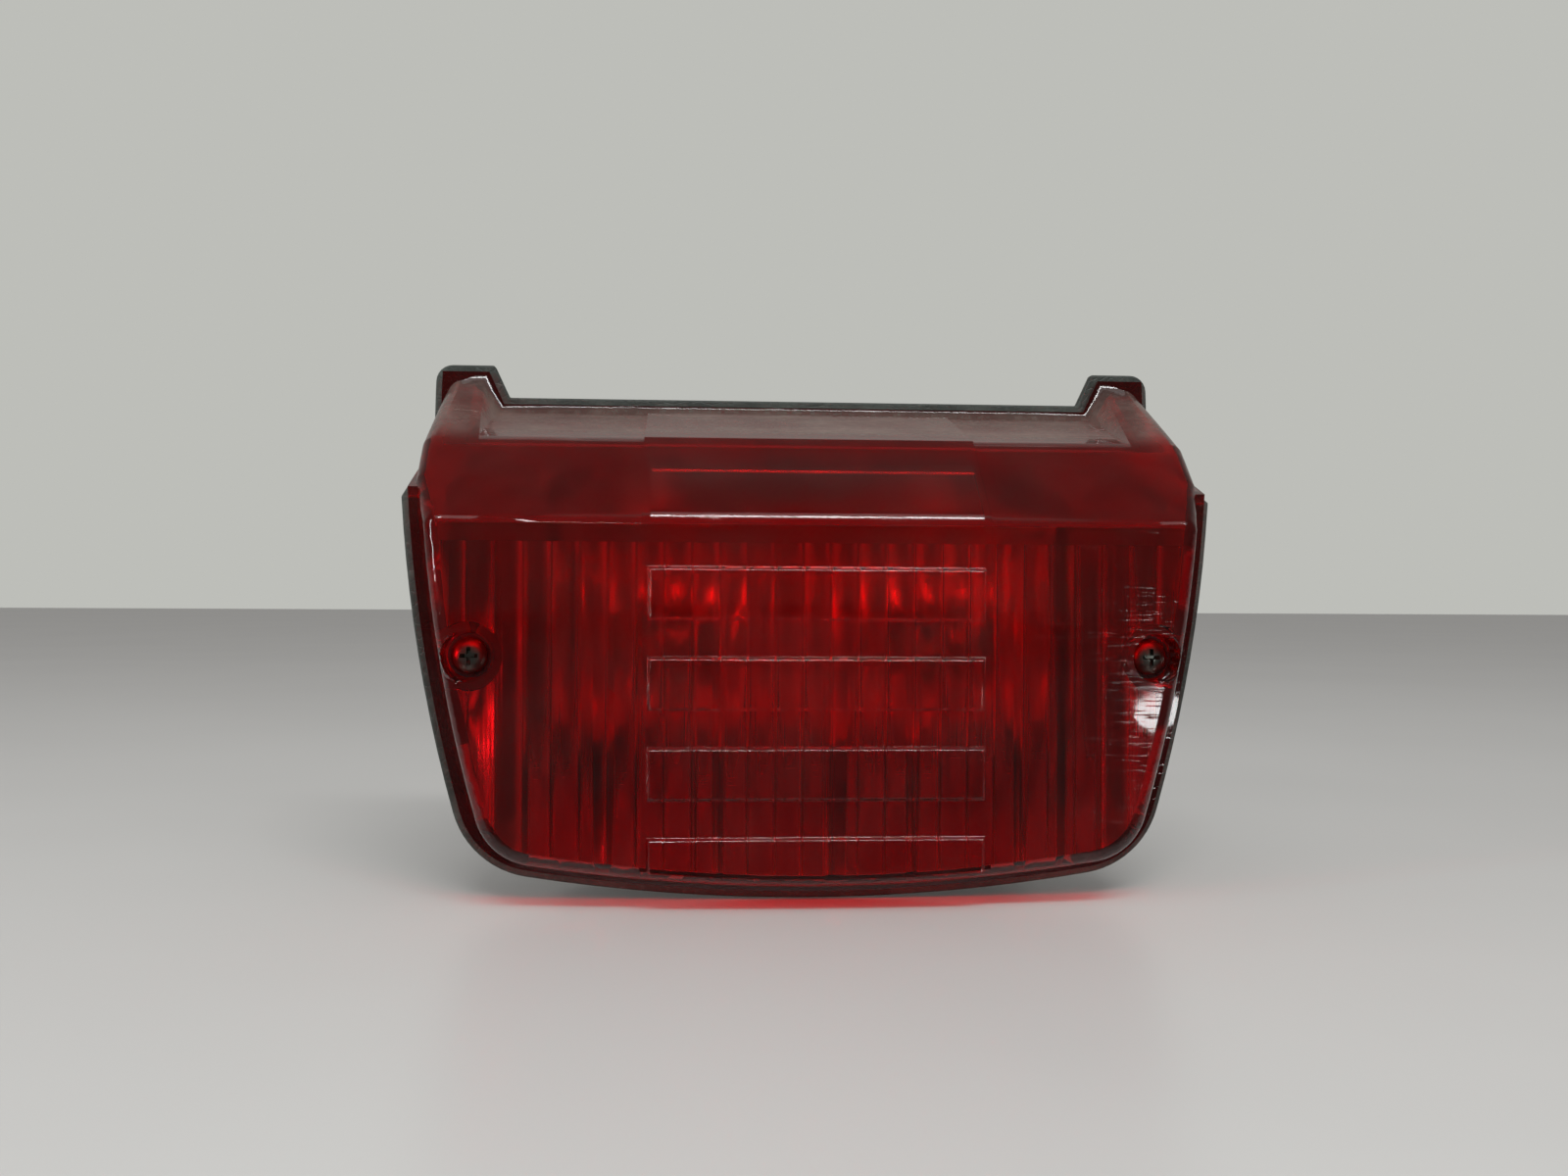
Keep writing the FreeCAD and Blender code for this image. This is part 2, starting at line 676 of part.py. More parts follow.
def raised_panel(name, top, height):
    """Drafted panel on the lens's face: a wide foot and a smaller front."""
    sections = []
    for step, inset, y in (("foot", "0", f"{FRONT} + lens_wall / 2"),
                           ("face", "panel_draft", f"{FRONT} - panel_proud")):
        half = f"(panel_half + panel_draft - {inset})"
        points = [(f"-{half}", f"{top} - {inset}"), (half, f"{top} - {inset}"),
                  (half, f"{top} - {height} + {inset}"),
                  (f"-{half}", f"{top} - {height} + {inset}")]
        sections.append(polygon(f"{name}_{step}", "XZ", points, y))
    panel = add("Part::Loft", name + "_sharp")
    panel.Sections = sections
    panel.Solid = True
    panel.Ruled = True
    front = value_of(f"{FRONT} - panel_proud")
    return softened(name, panel, "panel_round", lambda point: abs(point.y - front) < 0.01)


front_limit = extrude("front_limit", outline(
    "front_limit_outline", "lens_step + flange_step + wall_lean + edge_round / 2",
    f"{FRONT} - {PAST}", "ear_rise", "lens_step + flange_step + chin_lean + edge_round / 2"),
    Y_DIR, f"{PAST} + lens_wall")
raised = [face_strip("band_face", "band_half", "band_proud", "-bottom_drop", "1")]
for index in range(int(value_of("panel_count"))):
    raised.append(raised_panel(f"panel_{index}", f"panel_top_rise - {index} * panel_pitch",
                               "panel_height"))
band_low = keep("band_low", join("raised_pieces", *raised), join(
    "raised_limit", front_limit,
    box("bevel_limit", ("-band_half", FRONT, "crease_rise - 4"),
        ("2 * band_half", "bevel_run + 4", "bevel_rise + 10"))))
crease_panel = face_strip("crease_panel", "panel_half", "panel_proud",
                          "crease_rise - crease_panel_low", "crease_panel_share")
lens_solid = join("lens_solid", lens_skin, lens_rim, band_low, crease_panel,
                  roof_strip("band_roof", "band_half", "band_proud"))
node("lens", take("lens", lens_solid, carved_hollow, *well_bores))


# ---------------------------------------------------------------- gasket
gasket_block = extrude("gasket_block", outline("gasket_outline", "0", FRONT, "ear_rise"),
                       Y_DIR, "lamp_depth")
gasket_sheet = keep("gasket_sheet", gasket_block,
                    split_band("gasket_band_solid", "0", "gasket_thick"))
gasket_hollow = extrude("gasket_hollow",
                        outline("gasket_inner", "gasket_band", FRONT,
                                "roof_rise + lens_step + flange_step - gasket_band"),
                        Y_DIR, "lamp_depth")
lobes = [rod(f"gasket_lobe_{side}", "lobe_radius", FRONT, "lamp_depth",
             f"{sign} * {SCREW_X}", "-screw_drop") for side, sign in SIDES]
gasket_holes = [rod(f"gasket_hole_{side}", SCREW_HOLE, FRONT, "lamp_depth",
                    f"{sign} * {SCREW_X}", "-screw_drop") for side, sign in SIDES]
node("gasket", take("gasket", gasket_sheet,
                    take("gasket_opening", gasket_hollow, *lobes),
                    straight_channel("gasket_channel",
                                     f"{CHANNEL_HALF} - flange_step - lens_step / 2",
                                     "roof_rise + flange_step + lens_step"),
                    *gasket_holes))


# ---------------------------------------------------------------- housing
def rounded_prism(name, half, low, high, corner, start, length):
    """Round-cornered block along Y, symmetric in X."""
    block = box(name + "_block", (f"-({half})", start, f"-({low})"),
                (f"2 * ({half})", length, f"({low}) + ({high})"))
    doc.recompute()
    edges = [(number, value_of(corner), value_of(corner))
             for number, edge in enumerate(block.Shape.Edges, start=1)
             if abs(edge.tangentAt(edge.FirstParameter).y) > 0.99]
    rounded = add("Part::Fillet", name)
    rounded.Base = block
    rounded.Edges = edges
    return rounded


bowl = rounded_prism("bowl", "bowl_half", "bowl_low", "bowl_high", "bowl_corner",
                     FRONT, "lamp_depth - housing_rear")
bowl_hollow = rounded_prism("bowl_hollow", "bowl_half - housing_wall",
                            "bowl_low - housing_wall", "bowl_high - housing_wall",
                            "bowl_corner - housing_wall", FRONT,
                            "lamp_depth - housing_rear - rear_wall")
behind_split = split_band("behind_split", "gasket_thick", "lamp_depth")
housing_block = extrude("housing_block",
                        outline("housing_outline", "housing_step", FRONT,
                                "ear_rise - housing_step"), Y_DIR, "lamp_depth")
housing_rim = take("housing_rim", keep(
    "housing_rim_solid", housing_block,
    split_band("housing_rim_band", "gasket_thick", "gasket_thick + housing_flange")),
    straight_channel("housing_channel", f"{CHANNEL_HALF} - flange_step - lens_step / 4",
                     "roof_rise + flange_step + lens_step - housing_step"))

boss_start = f"{SPLIT_LOW} + gasket_thick"
insert_bosses = [rod(f"insert_boss_{side}", "insert_radius + boss_wall", boss_start, "insert_length + 3",
                     f"{sign} * {SCREW_X}", "-screw_drop") for side, sign in SIDES]
insert_bores = [rod(f"insert_bore_{side}", "insert_radius + seat_gap", f"{boss_start} - 1",
                    "insert_length + 2.5", f"{sign} * {SCREW_X}", "-screw_drop")
                for side, sign in SIDES]

reflector_posts = [(f"{sign} * reflector_post_x", z) for side, sign in SIDES
                   for z in ("-reflector_post_low", "reflector_post_high")]
strap_posts = [(f"{sign} * strap_post_x", "-bulb_drop") for side, sign in SIDES]
REFLECTOR_SEAT = "(-reflector_back)"
STRAP_SEAT = "(-strap_front + strap_sheet)"


def posts(name, radius, seat, places, reach):
    """Cylinders between a seat plane and the housing's floor."""
    return [rod(f"{name}_{index}", radius, seat, reach.format(seat=seat), x, z)
            for index, (x, z) in enumerate(places)]


to_floor = f"{HOUSING_FLOOR} - {{seat}} + 1"
pilot = "small_screw_length"
standing = posts("reflector_post", "post_radius", REFLECTOR_SEAT, reflector_posts, to_floor)
standing += posts("strap_post", "post_radius", STRAP_SEAT, strap_posts, to_floor)
bore = "small_shank_radius + seat_gap"
pilots = posts("reflector_pilot", bore, REFLECTOR_SEAT, reflector_posts, pilot)
pilots += posts("strap_pilot", bore, STRAP_SEAT, strap_posts, pilot)

studs_at = [("-stud_x", "stud_high"), ("stud_x", "stud_high"), ("0", "-stud_low")]
stud_holes = [rod(f"stud_hole_{index}", "stud_radius + screw_gap", f"{HOUSING_FLOOR} - 1",
                  "rear_wall + 2", x, z) for index, (x, z) in enumerate(studs_at)]
grommet_hole = rod("grommet_hole", "grommet_radius + seat_gap", f"{HOUSING_FLOOR} - 1",
                   "rear_wall + 2", 0, "grommet_rise")
window_hole = box("window_hole", ("-window_span / 2", "-window_back - window_width",
                                  "-bowl_low - 1"),
                  ("window_span", "window_width", "housing_wall + 2"))
node("housing", take(
    "housing", join("housing_solid",
                    take("housing_shell", join("housing_body", keep("bowl_back", bowl, behind_split),
                                               housing_rim), bowl_hollow),
                    *standing, *insert_bosses),
    *insert_bores, *pilots, *stud_holes, grommet_hole, window_hole))

window_low = "-bowl_low"
node("plate_window", join(
    "plate_window",
    box("window_plug", ("-window_span / 2 + seat_gap",
                        "-window_back - window_width + seat_gap", window_low),
        ("window_span - 2 * seat_gap", "window_width - 2 * seat_gap", "housing_wall")),
    box("window_flange", ("-window_span / 2 - window_lip",
                          "-window_back - window_width - window_lip",
                          f"{window_low} + housing_wall"),
        ("window_span + 2 * window_lip", "window_width + 2 * window_lip", "window_thick"))))

inserts = []
for side, sign in SIDES:
    inserts.append(turned(f"insert_{side}", [
        ("screw_shank_radius + seat_gap", boss_start),
        ("insert_radius", boss_start),
        ("insert_radius", f"{boss_start} + insert_length"),
        ("screw_shank_radius + seat_gap", f"{boss_start} + insert_length"),
    ], f"{sign} * {SCREW_X}", "-screw_drop"))
node("threaded_inserts", group("threaded_inserts", inserts))


# ---------------------------------------------------------------- screws
def cross_screw(name, seat, head_radius, head_height, shank_radius, length, recess, x, z):
    """Pan-head screw with a cross recess; its head sits on the plane y = seat."""
    width, span, depth = recess
    blank = turned(name + "_blank", [
        ("0", f"{seat} - {head_height}"),
        (f"{head_radius} * 0.62", f"{seat} - {head_height}"),
        (f"{head_radius} * 0.92", f"{seat} - {head_height} * 0.68"),
        (head_radius, f"{seat} - {head_height} * 0.25"),
        (head_radius, seat),
        (shank_radius, seat),
        (shank_radius, f"{seat} + {length} - {shank_radius} * 0.6"),
        (f"{shank_radius} * 0.5", f"{seat} + {length}"),
        ("0", f"{seat} + {length}"),
    ], x, z)
    start = f"{seat} - {head_height} - 1"
    bars = [
        box(name + "_bar", (f"{x} - ({span}) / 2", start, f"{z} - ({width}) / 2"),
            (span, f"({depth}) + 1", width)),
        box(name + "_cross", (f"{x} - ({width}) / 2", start, f"{z} - ({span}) / 2"),
            (width, f"({depth}) + 1", span)),
    ]
    return take(name, blank, *bars)


LENS_SEAT = f"({FRONT} + well_depth)"
lens_screws = []
seals = []
for side, sign in SIDES:
    x = f"{sign} * {SCREW_X}"
    lens_screws.append(cross_screw(
        f"lens_screw_{side}", f"({LENS_SEAT} - seal_thick)", "screw_head_radius",
        "screw_head_height", "screw_shank_radius", "screw_length",
        ("recess_width", "recess_span", "recess_depth"), x, "-screw_drop"))
    seals.append(turned(f"seal_{side}", [
        ("screw_shank_radius + seat_gap", f"{LENS_SEAT} - seal_thick"),
        (SEAL_RADIUS, f"{LENS_SEAT} - seal_thick"),
        (SEAL_RADIUS, LENS_SEAT),
        ("screw_shank_radius + seat_gap", LENS_SEAT),
    ], x, "-screw_drop"))
node("lens_screws", group("lens_screws", lens_screws))
node("lens_screw_washers", group("lens_screw_washers", seals))

small = ("small_head_radius", "small_head_height", "small_shank_radius",
         "small_screw_length - screw_end_gap",
         ("small_recess_width", "small_recess_span", "small_recess_depth"))
node("reflector_screws", group("reflector_screws", [
    cross_screw(f"reflector_screw_{index}", f"({REFLECTOR_SEAT} - reflector_sheet)", *small, x, z)
    for index, (x, z) in enumerate(reflector_posts)]))
node("strap_screws", group("strap_screws", [
    cross_screw(f"strap_screw_{index}", f"({STRAP_SEAT} - strap_sheet)", *small, x, z)
    for index, (x, z) in enumerate(strap_posts)]))


# ---------------------------------------------------------------- reflector and strap
tray = box("tray", ("-reflector_half", "-reflector_back - reflector_depth", "-reflector_low"),
           ("2 * reflector_half", "reflector_depth", "reflector_low + reflector_high"))
tray_hollow = box("tray_hollow",
                  ("-reflector_half + reflector_sheet",
                   "-reflector_back - reflector_depth - 1", "-reflector_low + reflector_sheet"),
                  ("2 * (reflector_half - reflector_sheet)",
                   "reflector_depth + 1 - reflector_sheet",
                   "reflector_low + reflector_high - 2 * reflector_sheet"))
divider = box("divider", ("-reflector_sheet / 2", "-reflector_back - divider_reach",
                          "-reflector_low"),
              ("reflector_sheet", "divider_reach", "reflector_low + reflector_high"))
bulb_holes = [rod(f"bulb_hole_{side}", "globe_radius + bulb_hole_gap", "-reflector_back - 3", "6",
                  f"{sign} * bulb_x", "-bulb_drop") for side, sign in SIDES]
screw_holes = [rod(f"reflector_hole_{index}", "small_shank_radius + screw_gap",
                   "-reflector_back - 3", "6", x, z)
               for index, (x, z) in enumerate(reflector_posts)]
node("reflector", take("reflector", join("reflector_solid", take("tray_shell", tray, tray_hollow),
                                         divider), *bulb_holes, *screw_holes))

strap = box("strap", ("-strap_half", "-strap_front", "-bulb_drop - strap_height / 2"),
            ("2 * strap_half", "strap_sheet", "strap_height"))
strap_holes = [rod(f"strap_hole_{side}", f"{SHELL_BORE} + shell_wall + seat_gap",
                   "-strap_front - 1", "strap_sheet + 2", f"{sign} * bulb_x", "-bulb_drop")
               for side, sign in SIDES]
strap_holes += [rod(f"strap_screw_hole_{index}", "small_shank_radius + screw_gap",
                    "-strap_front - 1", "strap_sheet + 2", x, z)
                for index, (x, z) in enumerate(strap_posts)]
node("socket_strap", take("socket_strap", strap, *strap_holes))


# ---------------------------------------------------------------- sockets
def socket_slots(side, x):
    """Two J slots: a straight leg from the mouth and a leg round to the locked place.

    The round leg is taller than its pin by the push travel, so that the bulb can
    be pushed, turned, or both, without touching the shell.
    """
    tools = []
    for pin, depth, facing in (("near", "pin_low", 0), ("far", "pin_high", 180)):
        low = f"(-contact_plane - {depth} - slot_half)"
        leg = rod(f"slot_turn_{pin}_{side}", f"{SHELL_BORE} + 2 * shell_wall", low,
                  "2 * slot_half + push_travel", x, "-bulb_drop")
        bind(leg, Angle="twist_angle + 2 * slot_margin")
        leg.Placement.Rotation = AXIS_Y * Rotation(Z_DIR, facing - value_of("slot_margin"))
        tools.append(leg)
        run = add("Part::Box", f"slot_run_{pin}_{side}")
        heading = facing + value_of("twist_angle")
        turn = AXIS_Y * Rotation(Z_DIR, heading)
        axis = Vector(value_of(x), -value_of("shell_front") - 2, -value_of("bulb_drop"))
        run.Placement = Placement(axis + turn.multVec(Vector(0, -value_of("slot_half"), 0)), turn)
        bind(run, Length=f"{SHELL_BORE} + 2 * shell_wall", Width="2 * slot_half",
             Height=f"shell_front + 2 + {low} + 2 * slot_half + push_travel")
        tools.append(run)
    return tools


def turned_ring(name, inner, outer, start, end, x, z):
    """Plain ring about an axis along Y."""
    return turned(name, [(inner, start), (outer, start), (outer, end), (inner, end)], x, z)


def spread_rods(name, radius, start, length, spread, x):
    """Two rods side by side, above and below the bulb's axis."""
    return [rod(f"{name}_{place}", radius, start, length, x, f"-bulb_drop + {sign} * {spread}")
            for place, sign in (("upper", 1), ("lower", -1))]


CARRIER_FRONT = "(-contact_plane + seat_gap + pip_proud)"
CARRIER_REAR = f"({CARRIER_FRONT} + carrier_thick)"
INSULATOR_FRONT = "(-shell_rear - insulator_thick)"
CAP_REAR = "(-contact_plane - contact_proud)"
CAP_FRONT = "(-contact_plane - cap_length)"


def coil_spring(name, x):
    """Helical spring between the fixed insulator and the sliding contact carrier."""
    wire = value_of("spring_wire")
    start = value_of(CARRIER_REAR) + value_of("spring_gap") + wire
    length = value_of(INSULATOR_FRONT) - value_of("spring_gap") - wire - start
    radius = value_of("spring_radius")
    helix = Part.makeHelix(length / value_of("spring_turns"), length, radius)
    inner, outer = Vector(radius - wire, 0, 0), Vector(radius + wire, 0, 0)
    section = Part.Wire([Part.Arc(inner, Vector(radius, 0, wire), outer).toShape(),
                         Part.Arc(outer, Vector(radius, 0, -wire), inner).toShape()])
    pipe = Part.Wire(helix.Edges).makePipeShell([section], True, True)
    spring = add("Part::Feature", name)
    spring.Shape = pipe
    spring.Placement = Placement(Vector(value_of(x), start, -value_of("bulb_drop")), AXIS_Y)
    return spring


def bulb_glass(name, x):
    """Blown globe on a narrow neck that is cemented into the cap; thin walled."""
    body = add("PartDesign::Body", name)
    sketch = body.newObject("Sketcher::SketchObject", name + "_profile")
    plane = [part for part in body.Origin.OriginFeatures if part.Role == "XY_Plane"][0]
    sketch.AttachmentSupport = [(plane, "")]
    sketch.MapMode = "FlatFace"
    globe, neck, wall = value_of("globe_radius"), value_of("neck_radius"), value_of("glass_wall")
    tip = -value_of("contact_plane + bulb_length")
    centre = Vector(0, tip + globe, 0)
    foot = value_of(f"{CAP_FRONT} + cap_length / 3")
    turn = math.asin(neck / globe)
    inner_turn = math.asin((neck - wall) / (globe - wall))
    outer_end = centre.y + globe * math.cos(turn)
    inner_end = centre.y + (globe - wall) * math.cos(inner_turn)
    pieces = (
        Part.ArcOfCircle(Part.Circle(centre, Z_DIR, globe), -math.pi / 2, math.pi / 2 - turn),
        Part.LineSegment(Vector(neck, outer_end, 0), Vector(neck, foot, 0)),
        Part.LineSegment(Vector(neck, foot, 0), Vector(neck - wall, foot, 0)),
        Part.LineSegment(Vector(neck - wall, foot, 0), Vector(neck - wall, inner_end, 0)),
        Part.ArcOfCircle(Part.Circle(centre, Z_DIR, globe - wall), -math.pi / 2,
                         math.pi / 2 - inner_turn),
        Part.LineSegment(Vector(0, centre.y - globe + wall, 0), Vector(0, tip, 0)),
    )
    for piece in pieces:
        sketch.addGeometry(piece, False)
    outer, side, end, bore, inner, closing = range(6)
    for first, second in (((outer, 2), (side, 1)), ((side, 2), (end, 1)), ((end, 2), (bore, 1)),
                          ((bore, 2), (inner, 2)), ((inner, 1), (closing, 1)),
                          ((closing, 2), (outer, 1))):
        sketch.addConstraint(Sketcher.Constraint("Coincident", *first, *second))
    ties = (
        ("DistanceX", (-1, 1, outer, 3), "0"),
        ("DistanceX", (-1, 1, closing, 1), "0"),
        ("DistanceX", (-1, 1, closing, 2), "0"),
        ("DistanceY", (-1, 1, outer, 3), "globe_radius - contact_plane - bulb_length"),
        ("DistanceY", (-1, 1, inner, 3), "globe_radius - contact_plane - bulb_length"),
        ("DistanceX", (-1, 1, inner, 3), "0"),
        ("Radius", (outer,), "globe_radius"),
        ("Radius", (inner,), "globe_radius - glass_wall"),
        ("DistanceX", (-1, 1, side, 1), "neck_radius"),
        ("DistanceX", (-1, 1, side, 2), "neck_radius"),
        ("DistanceX", (-1, 1, bore, 1), "neck_radius - glass_wall"),
        ("DistanceX", (-1, 1, bore, 2), "neck_radius - glass_wall"),
        ("DistanceY", (-1, 1, side, 2), f"{CAP_FRONT} + cap_length / 3"),
        ("DistanceY", (-1, 1, bore, 1), f"{CAP_FRONT} + cap_length / 3"),
    )
    for kind, where, text in ties:
        number = sketch.addConstraint(Sketcher.Constraint(kind, *where, value_of(text)))
        if text != "0":
            sketch.setExpression(f"Constraints[{number}]", bound(text))
    revolution = body.newObject("PartDesign::Revolution", name + "_turn")
    revolution.Profile = sketch
    revolution.ReferenceAxis = (sketch, ["V_Axis"])
    revolution.Angle = 360
    return bind(body, px=x, pz="-bulb_drop")


def bulb_cap(name, x):
    """Bayonet cap: a brass cup with a glassy base and two pins at two heights."""
    cup = turned(name + "_cup", [
        ("0", CAP_REAR), ("cap_radius", CAP_REAR), ("cap_radius", CAP_FRONT),
        ("cap_radius - cap_wall", CAP_FRONT),
        ("cap_radius - cap_wall", f"{CAP_REAR} - cap_base"),
        ("0", f"{CAP_REAR} - cap_base"),
    ], x, "-bulb_drop")
    pins = []
    for place, depth, sign in (("near", "pin_low", 1), ("far", "pin_high", -1)):
        pin = add("Part::Cylinder", f"{name}_pin_{place}")
        pin.Placement = Placement(Vector(), Rotation(Vector(0, 1, 0), 90 * sign))
        bind(pin, px=f"{x} + {sign} * (cap_radius - cap_wall)", py=f"-contact_plane - {depth}",
             pz="-bulb_drop", Radius="pin_radius", Height="pin_reach - cap_radius + cap_wall")
        pins.append(pin)
    return join(name, cup, *pins)


def cross_rod(name, radius, half, x, y, z):
    """Short rod along X, centred on x."""
    piece = add("Part::Cylinder", name)
    piece.Placement = Placement(Vector(), Rotation(Vector(0, 1, 0), 90))
    return bind(piece, px=f"{x} - {half}", py=y, pz=z, Radius=radius, Height=f"2 * {half}")


STEM_FOOT = f"({CAP_REAR} - cap_base)"
STEM_TIP = f"({STEM_FOOT} - stem_length)"
FILAMENT_PLANE = f"({STEM_TIP} - support_length)"


def build_bulb(side, x):
    """Everything that leaves the socket when the bulb is taken out."""
    node(f"bulb_cap_{side}", bulb_cap(f"bulb_cap_{side}", x))
    node(f"bulb_glass_{side}", bulb_glass(f"bulb_glass_{side}", x))
    node(f"bulb_contacts_{side}", group(f"bulb_contacts_{side}", spread_rods(
        f"bulb_contact_{side}", "contact_radius", CAP_REAR, "contact_proud",
        "contact_spread", x)))
    node(f"bulb_stem_{side}", turned(f"bulb_stem_{side}", [
        ("0", STEM_FOOT), ("stem_radius * 1.6", STEM_FOOT),
        ("stem_radius", f"{STEM_FOOT} - stem_length * 0.4"), ("stem_radius", STEM_TIP),
        ("0", STEM_TIP)], x, "-bulb_drop"))
    parts = []
    for place, sign, reach in (("upper", 1, "0"), ("lower", -1, "filament_stagger")):
        z = f"(-bulb_drop + {sign} * filament_rise)"
        plane = f"({FILAMENT_PLANE} + {reach})"
        coil = cross_rod(f"filament_coil_{place}_{side}", "filament_radius", "filament_half",
                         x, plane, z)
        legs = [rod(f"filament_leg_{place}_{end}_{side}", "support_radius", plane,
                    f"{STEM_TIP} - {plane}", f"{x} + {end} * (filament_half - support_inset)", z)
                for end in (-1, 1)]
        parts.append(join(f"filament_{place}_{side}", coil, *legs))
    node(f"bulb_filaments_{side}", group(f"bulb_filaments_{side}", parts))


def build_socket(side, x):
    """Socket shell, its fixed insulator and terminals, spring and contact carrier."""
    tube = turned_ring(f"shell_tube_{side}", SHELL_BORE, f"{SHELL_BORE} + shell_wall",
                       "-shell_front", "-shell_rear", x, "-bulb_drop")
    node(f"socket_shell_{side}", take(f"socket_shell_{side}", tube, *socket_slots(side, x)))
    disc = rod(f"insulator_disc_{side}", f"{SHELL_BORE} - seat_gap", INSULATOR_FRONT,
               "insulator_thick", x, "-bulb_drop")
    holes = spread_rods(f"insulator_hole_{side}", "terminal_radius + seat_gap",
                        f"{INSULATOR_FRONT} - 1", "insulator_thick + 2", "terminal_spread", x)
    node(f"socket_insulator_{side}", take(f"socket_insulator_{side}", disc, *holes))
    node(f"socket_terminals_{side}", group(f"socket_terminals_{side}", spread_rods(
        f"socket_terminal_{side}", "terminal_radius", INSULATOR_FRONT, "terminal_length",
        "terminal_spread", x)))
    node(f"contact_spring_{side}", coil_spring(f"contact_spring_{side}", x))
    plate = rod(f"carrier_disc_{side}", f"{SHELL_BORE} - carrier_gap", CARRIER_FRONT, "carrier_thick", x,
                "-bulb_drop")
    seats = spread_rods(f"carrier_seat_{side}", "pip_radius + seat_gap", f"{CARRIER_FRONT} - 1",
                        "carrier_thick + 2", "contact_spread", x)
    node(f"contact_carrier_{side}", take(f"contact_carrier_{side}", plate, *seats))
    node(f"contact_pips_{side}", group(f"contact_pips_{side}", spread_rods(
        f"contact_pip_{side}", "pip_radius", f"{CARRIER_FRONT} - pip_proud",
        "carrier_thick + pip_proud", "contact_spread", x)))


for side, sign in SIDES:
    bulb_x = f"({sign} * bulb_x)"
    build_socket(side, bulb_x)
    build_bulb(side, bulb_x)


# ---------------------------------------------------------------- mounting
DAMPER_START = HOUSING_REAR
DAMPER_END = f"({HOUSING_REAR} + damper_length)"
WEB_FRONT = f"({HOUSING_REAR} + (damper_length - bracket_sheet) / 2)"
WASHER_END = f"({DAMPER_END} + washer_thick)"
LOCK_END = f"({WASHER_END} + lock_thick)"

hardware = {name: [] for name in ("mounting_studs", "damper_collars", "rubber_dampers",
                                  "plain_washers", "lock_washers", "mounting_nuts")}
for index, (x, z) in enumerate(studs_at):
    hardware["mounting_studs"].append(turned(f"stud_{index}", [
        ("0", f"{HOUSING_FLOOR} - stud_head"), ("stud_head_radius", f"{HOUSING_FLOOR} - stud_head"),
        ("stud_head_radius", HOUSING_FLOOR), ("stud_radius", HOUSING_FLOOR),
        ("stud_radius", "-stud_end - stud_chamfer"), ("stud_radius - stud_chamfer", "-stud_end"),
        ("0", "-stud_end")], x, z))
    hardware["damper_collars"].append(turned_ring(
        f"collar_{index}", COLLAR_BORE, f"{COLLAR_BORE} + collar_wall", DAMPER_START,
        DAMPER_END, x, z))
    bore = f"{COLLAR_BORE} + collar_wall + damper_gap"
    hardware["rubber_dampers"].append(turned(f"damper_{index}", [
        (bore, DAMPER_START), ("damper_radius - 1", DAMPER_START),
        ("damper_radius", f"{DAMPER_START} + 1"), ("damper_radius", WEB_FRONT),
        ("damper_neck", WEB_FRONT), ("damper_neck", f"{WEB_FRONT} + bracket_sheet"),
        ("damper_radius", f"{WEB_FRONT} + bracket_sheet"),
        ("damper_radius", f"{DAMPER_END} - 1"), ("damper_radius - 1", DAMPER_END),
        (bore, DAMPER_END)], x, z))
    hardware["plain_washers"].append(turned_ring(
        f"washer_{index}", "stud_radius + screw_gap", "washer_radius", DAMPER_END,
        WASHER_END, x, z))
    ring = turned_ring(f"lock_ring_{index}", "stud_radius + screw_gap", "lock_radius",
                       WASHER_END, LOCK_END, x, z)
    gap = box(f"lock_gap_{index}", (f"{x} - lock_split / 2", f"{WASHER_END} - 1", z),
              ("lock_split", "lock_thick + 2", "lock_radius + 2"))
    hardware["lock_washers"].append(take(f"lock_washer_{index}", ring, gap))
    hexagon = add("Part::Prism", f"nut_hex_{index}")
    hexagon.Placement = Placement(Vector(), AXIS_Y)
    hexagon.Polygon = 6
    bind(hexagon, px=x, py=LOCK_END, pz=z, Circumradius="nut_half_flats / cos(30 deg)",
         Height="nut_height")
    crown = turned(f"nut_crown_{index}", [
        ("stud_radius + seat_gap", LOCK_END), ("nut_half_flats", LOCK_END),
        ("nut_half_flats * 1.16", f"{LOCK_END} + nut_height * 0.12"),
        ("nut_half_flats * 1.16", f"{LOCK_END} + nut_height * 0.88"),
        ("nut_half_flats", f"{LOCK_END} + nut_height"),
        ("stud_radius + seat_gap", f"{LOCK_END} + nut_height")], x, z)
    hardware["mounting_nuts"].append(keep(f"nut_{index}", hexagon, crown))
for name, parts in hardware.items():
    node(name, group(name, parts))

outer_x = "(web_half + foot_length)"
hat = extrude("hat", polygon("hat_profile", "XY", [
    ("-web_half", WEB_FRONT), ("web_half", WEB_FRONT), ("web_half", "-bracket_sheet"),
    (outer_x, "-bracket_sheet"), (outer_x, "0"), ("web_half - bracket_sheet", "0"),
    ("web_half - bracket_sheet", f"{WEB_FRONT} + bracket_sheet"),
    ("-web_half + bracket_sheet", f"{WEB_FRONT} + bracket_sheet"),
    ("-web_half + bracket_sheet", "0"), (f"-{outer_x}", "0"),
    (f"-{outer_x}", "-bracket_sheet"), ("-web_half", "-bracket_sheet"),
], "-foot_half"), Z_DIR, "2 * foot_half")
web_tab = "(damper_radius + web_margin)"
web = extrude("web", polygon("web_profile", "XZ", [
    (f"-{web_tab}", "-web_low"), (web_tab, "-web_low"), ("web_half", "-foot_half"),
    ("web_half", "foot_half"), (f"stud_x + {web_tab}", "web_high"),
    (f"-stud_x - {web_tab}", "web_high"), ("-web_half", "foot_half"),
    ("-web_half", "-foot_half"),
], WEB_FRONT), Y_DIR, "bracket_sheet")
web_holes = [rod(f"web_hole_{index}", "damper_neck + damper_gap", f"{WEB_FRONT} - 1",
                 "bracket_sheet + 2", x, z) for index, (x, z) in enumerate(studs_at)]
wire_window = rod("wire_window", "grommet_flange + wire_room", f"{WEB_FRONT} - 1",
                  "bracket_sheet + 2", 0, "grommet_rise")
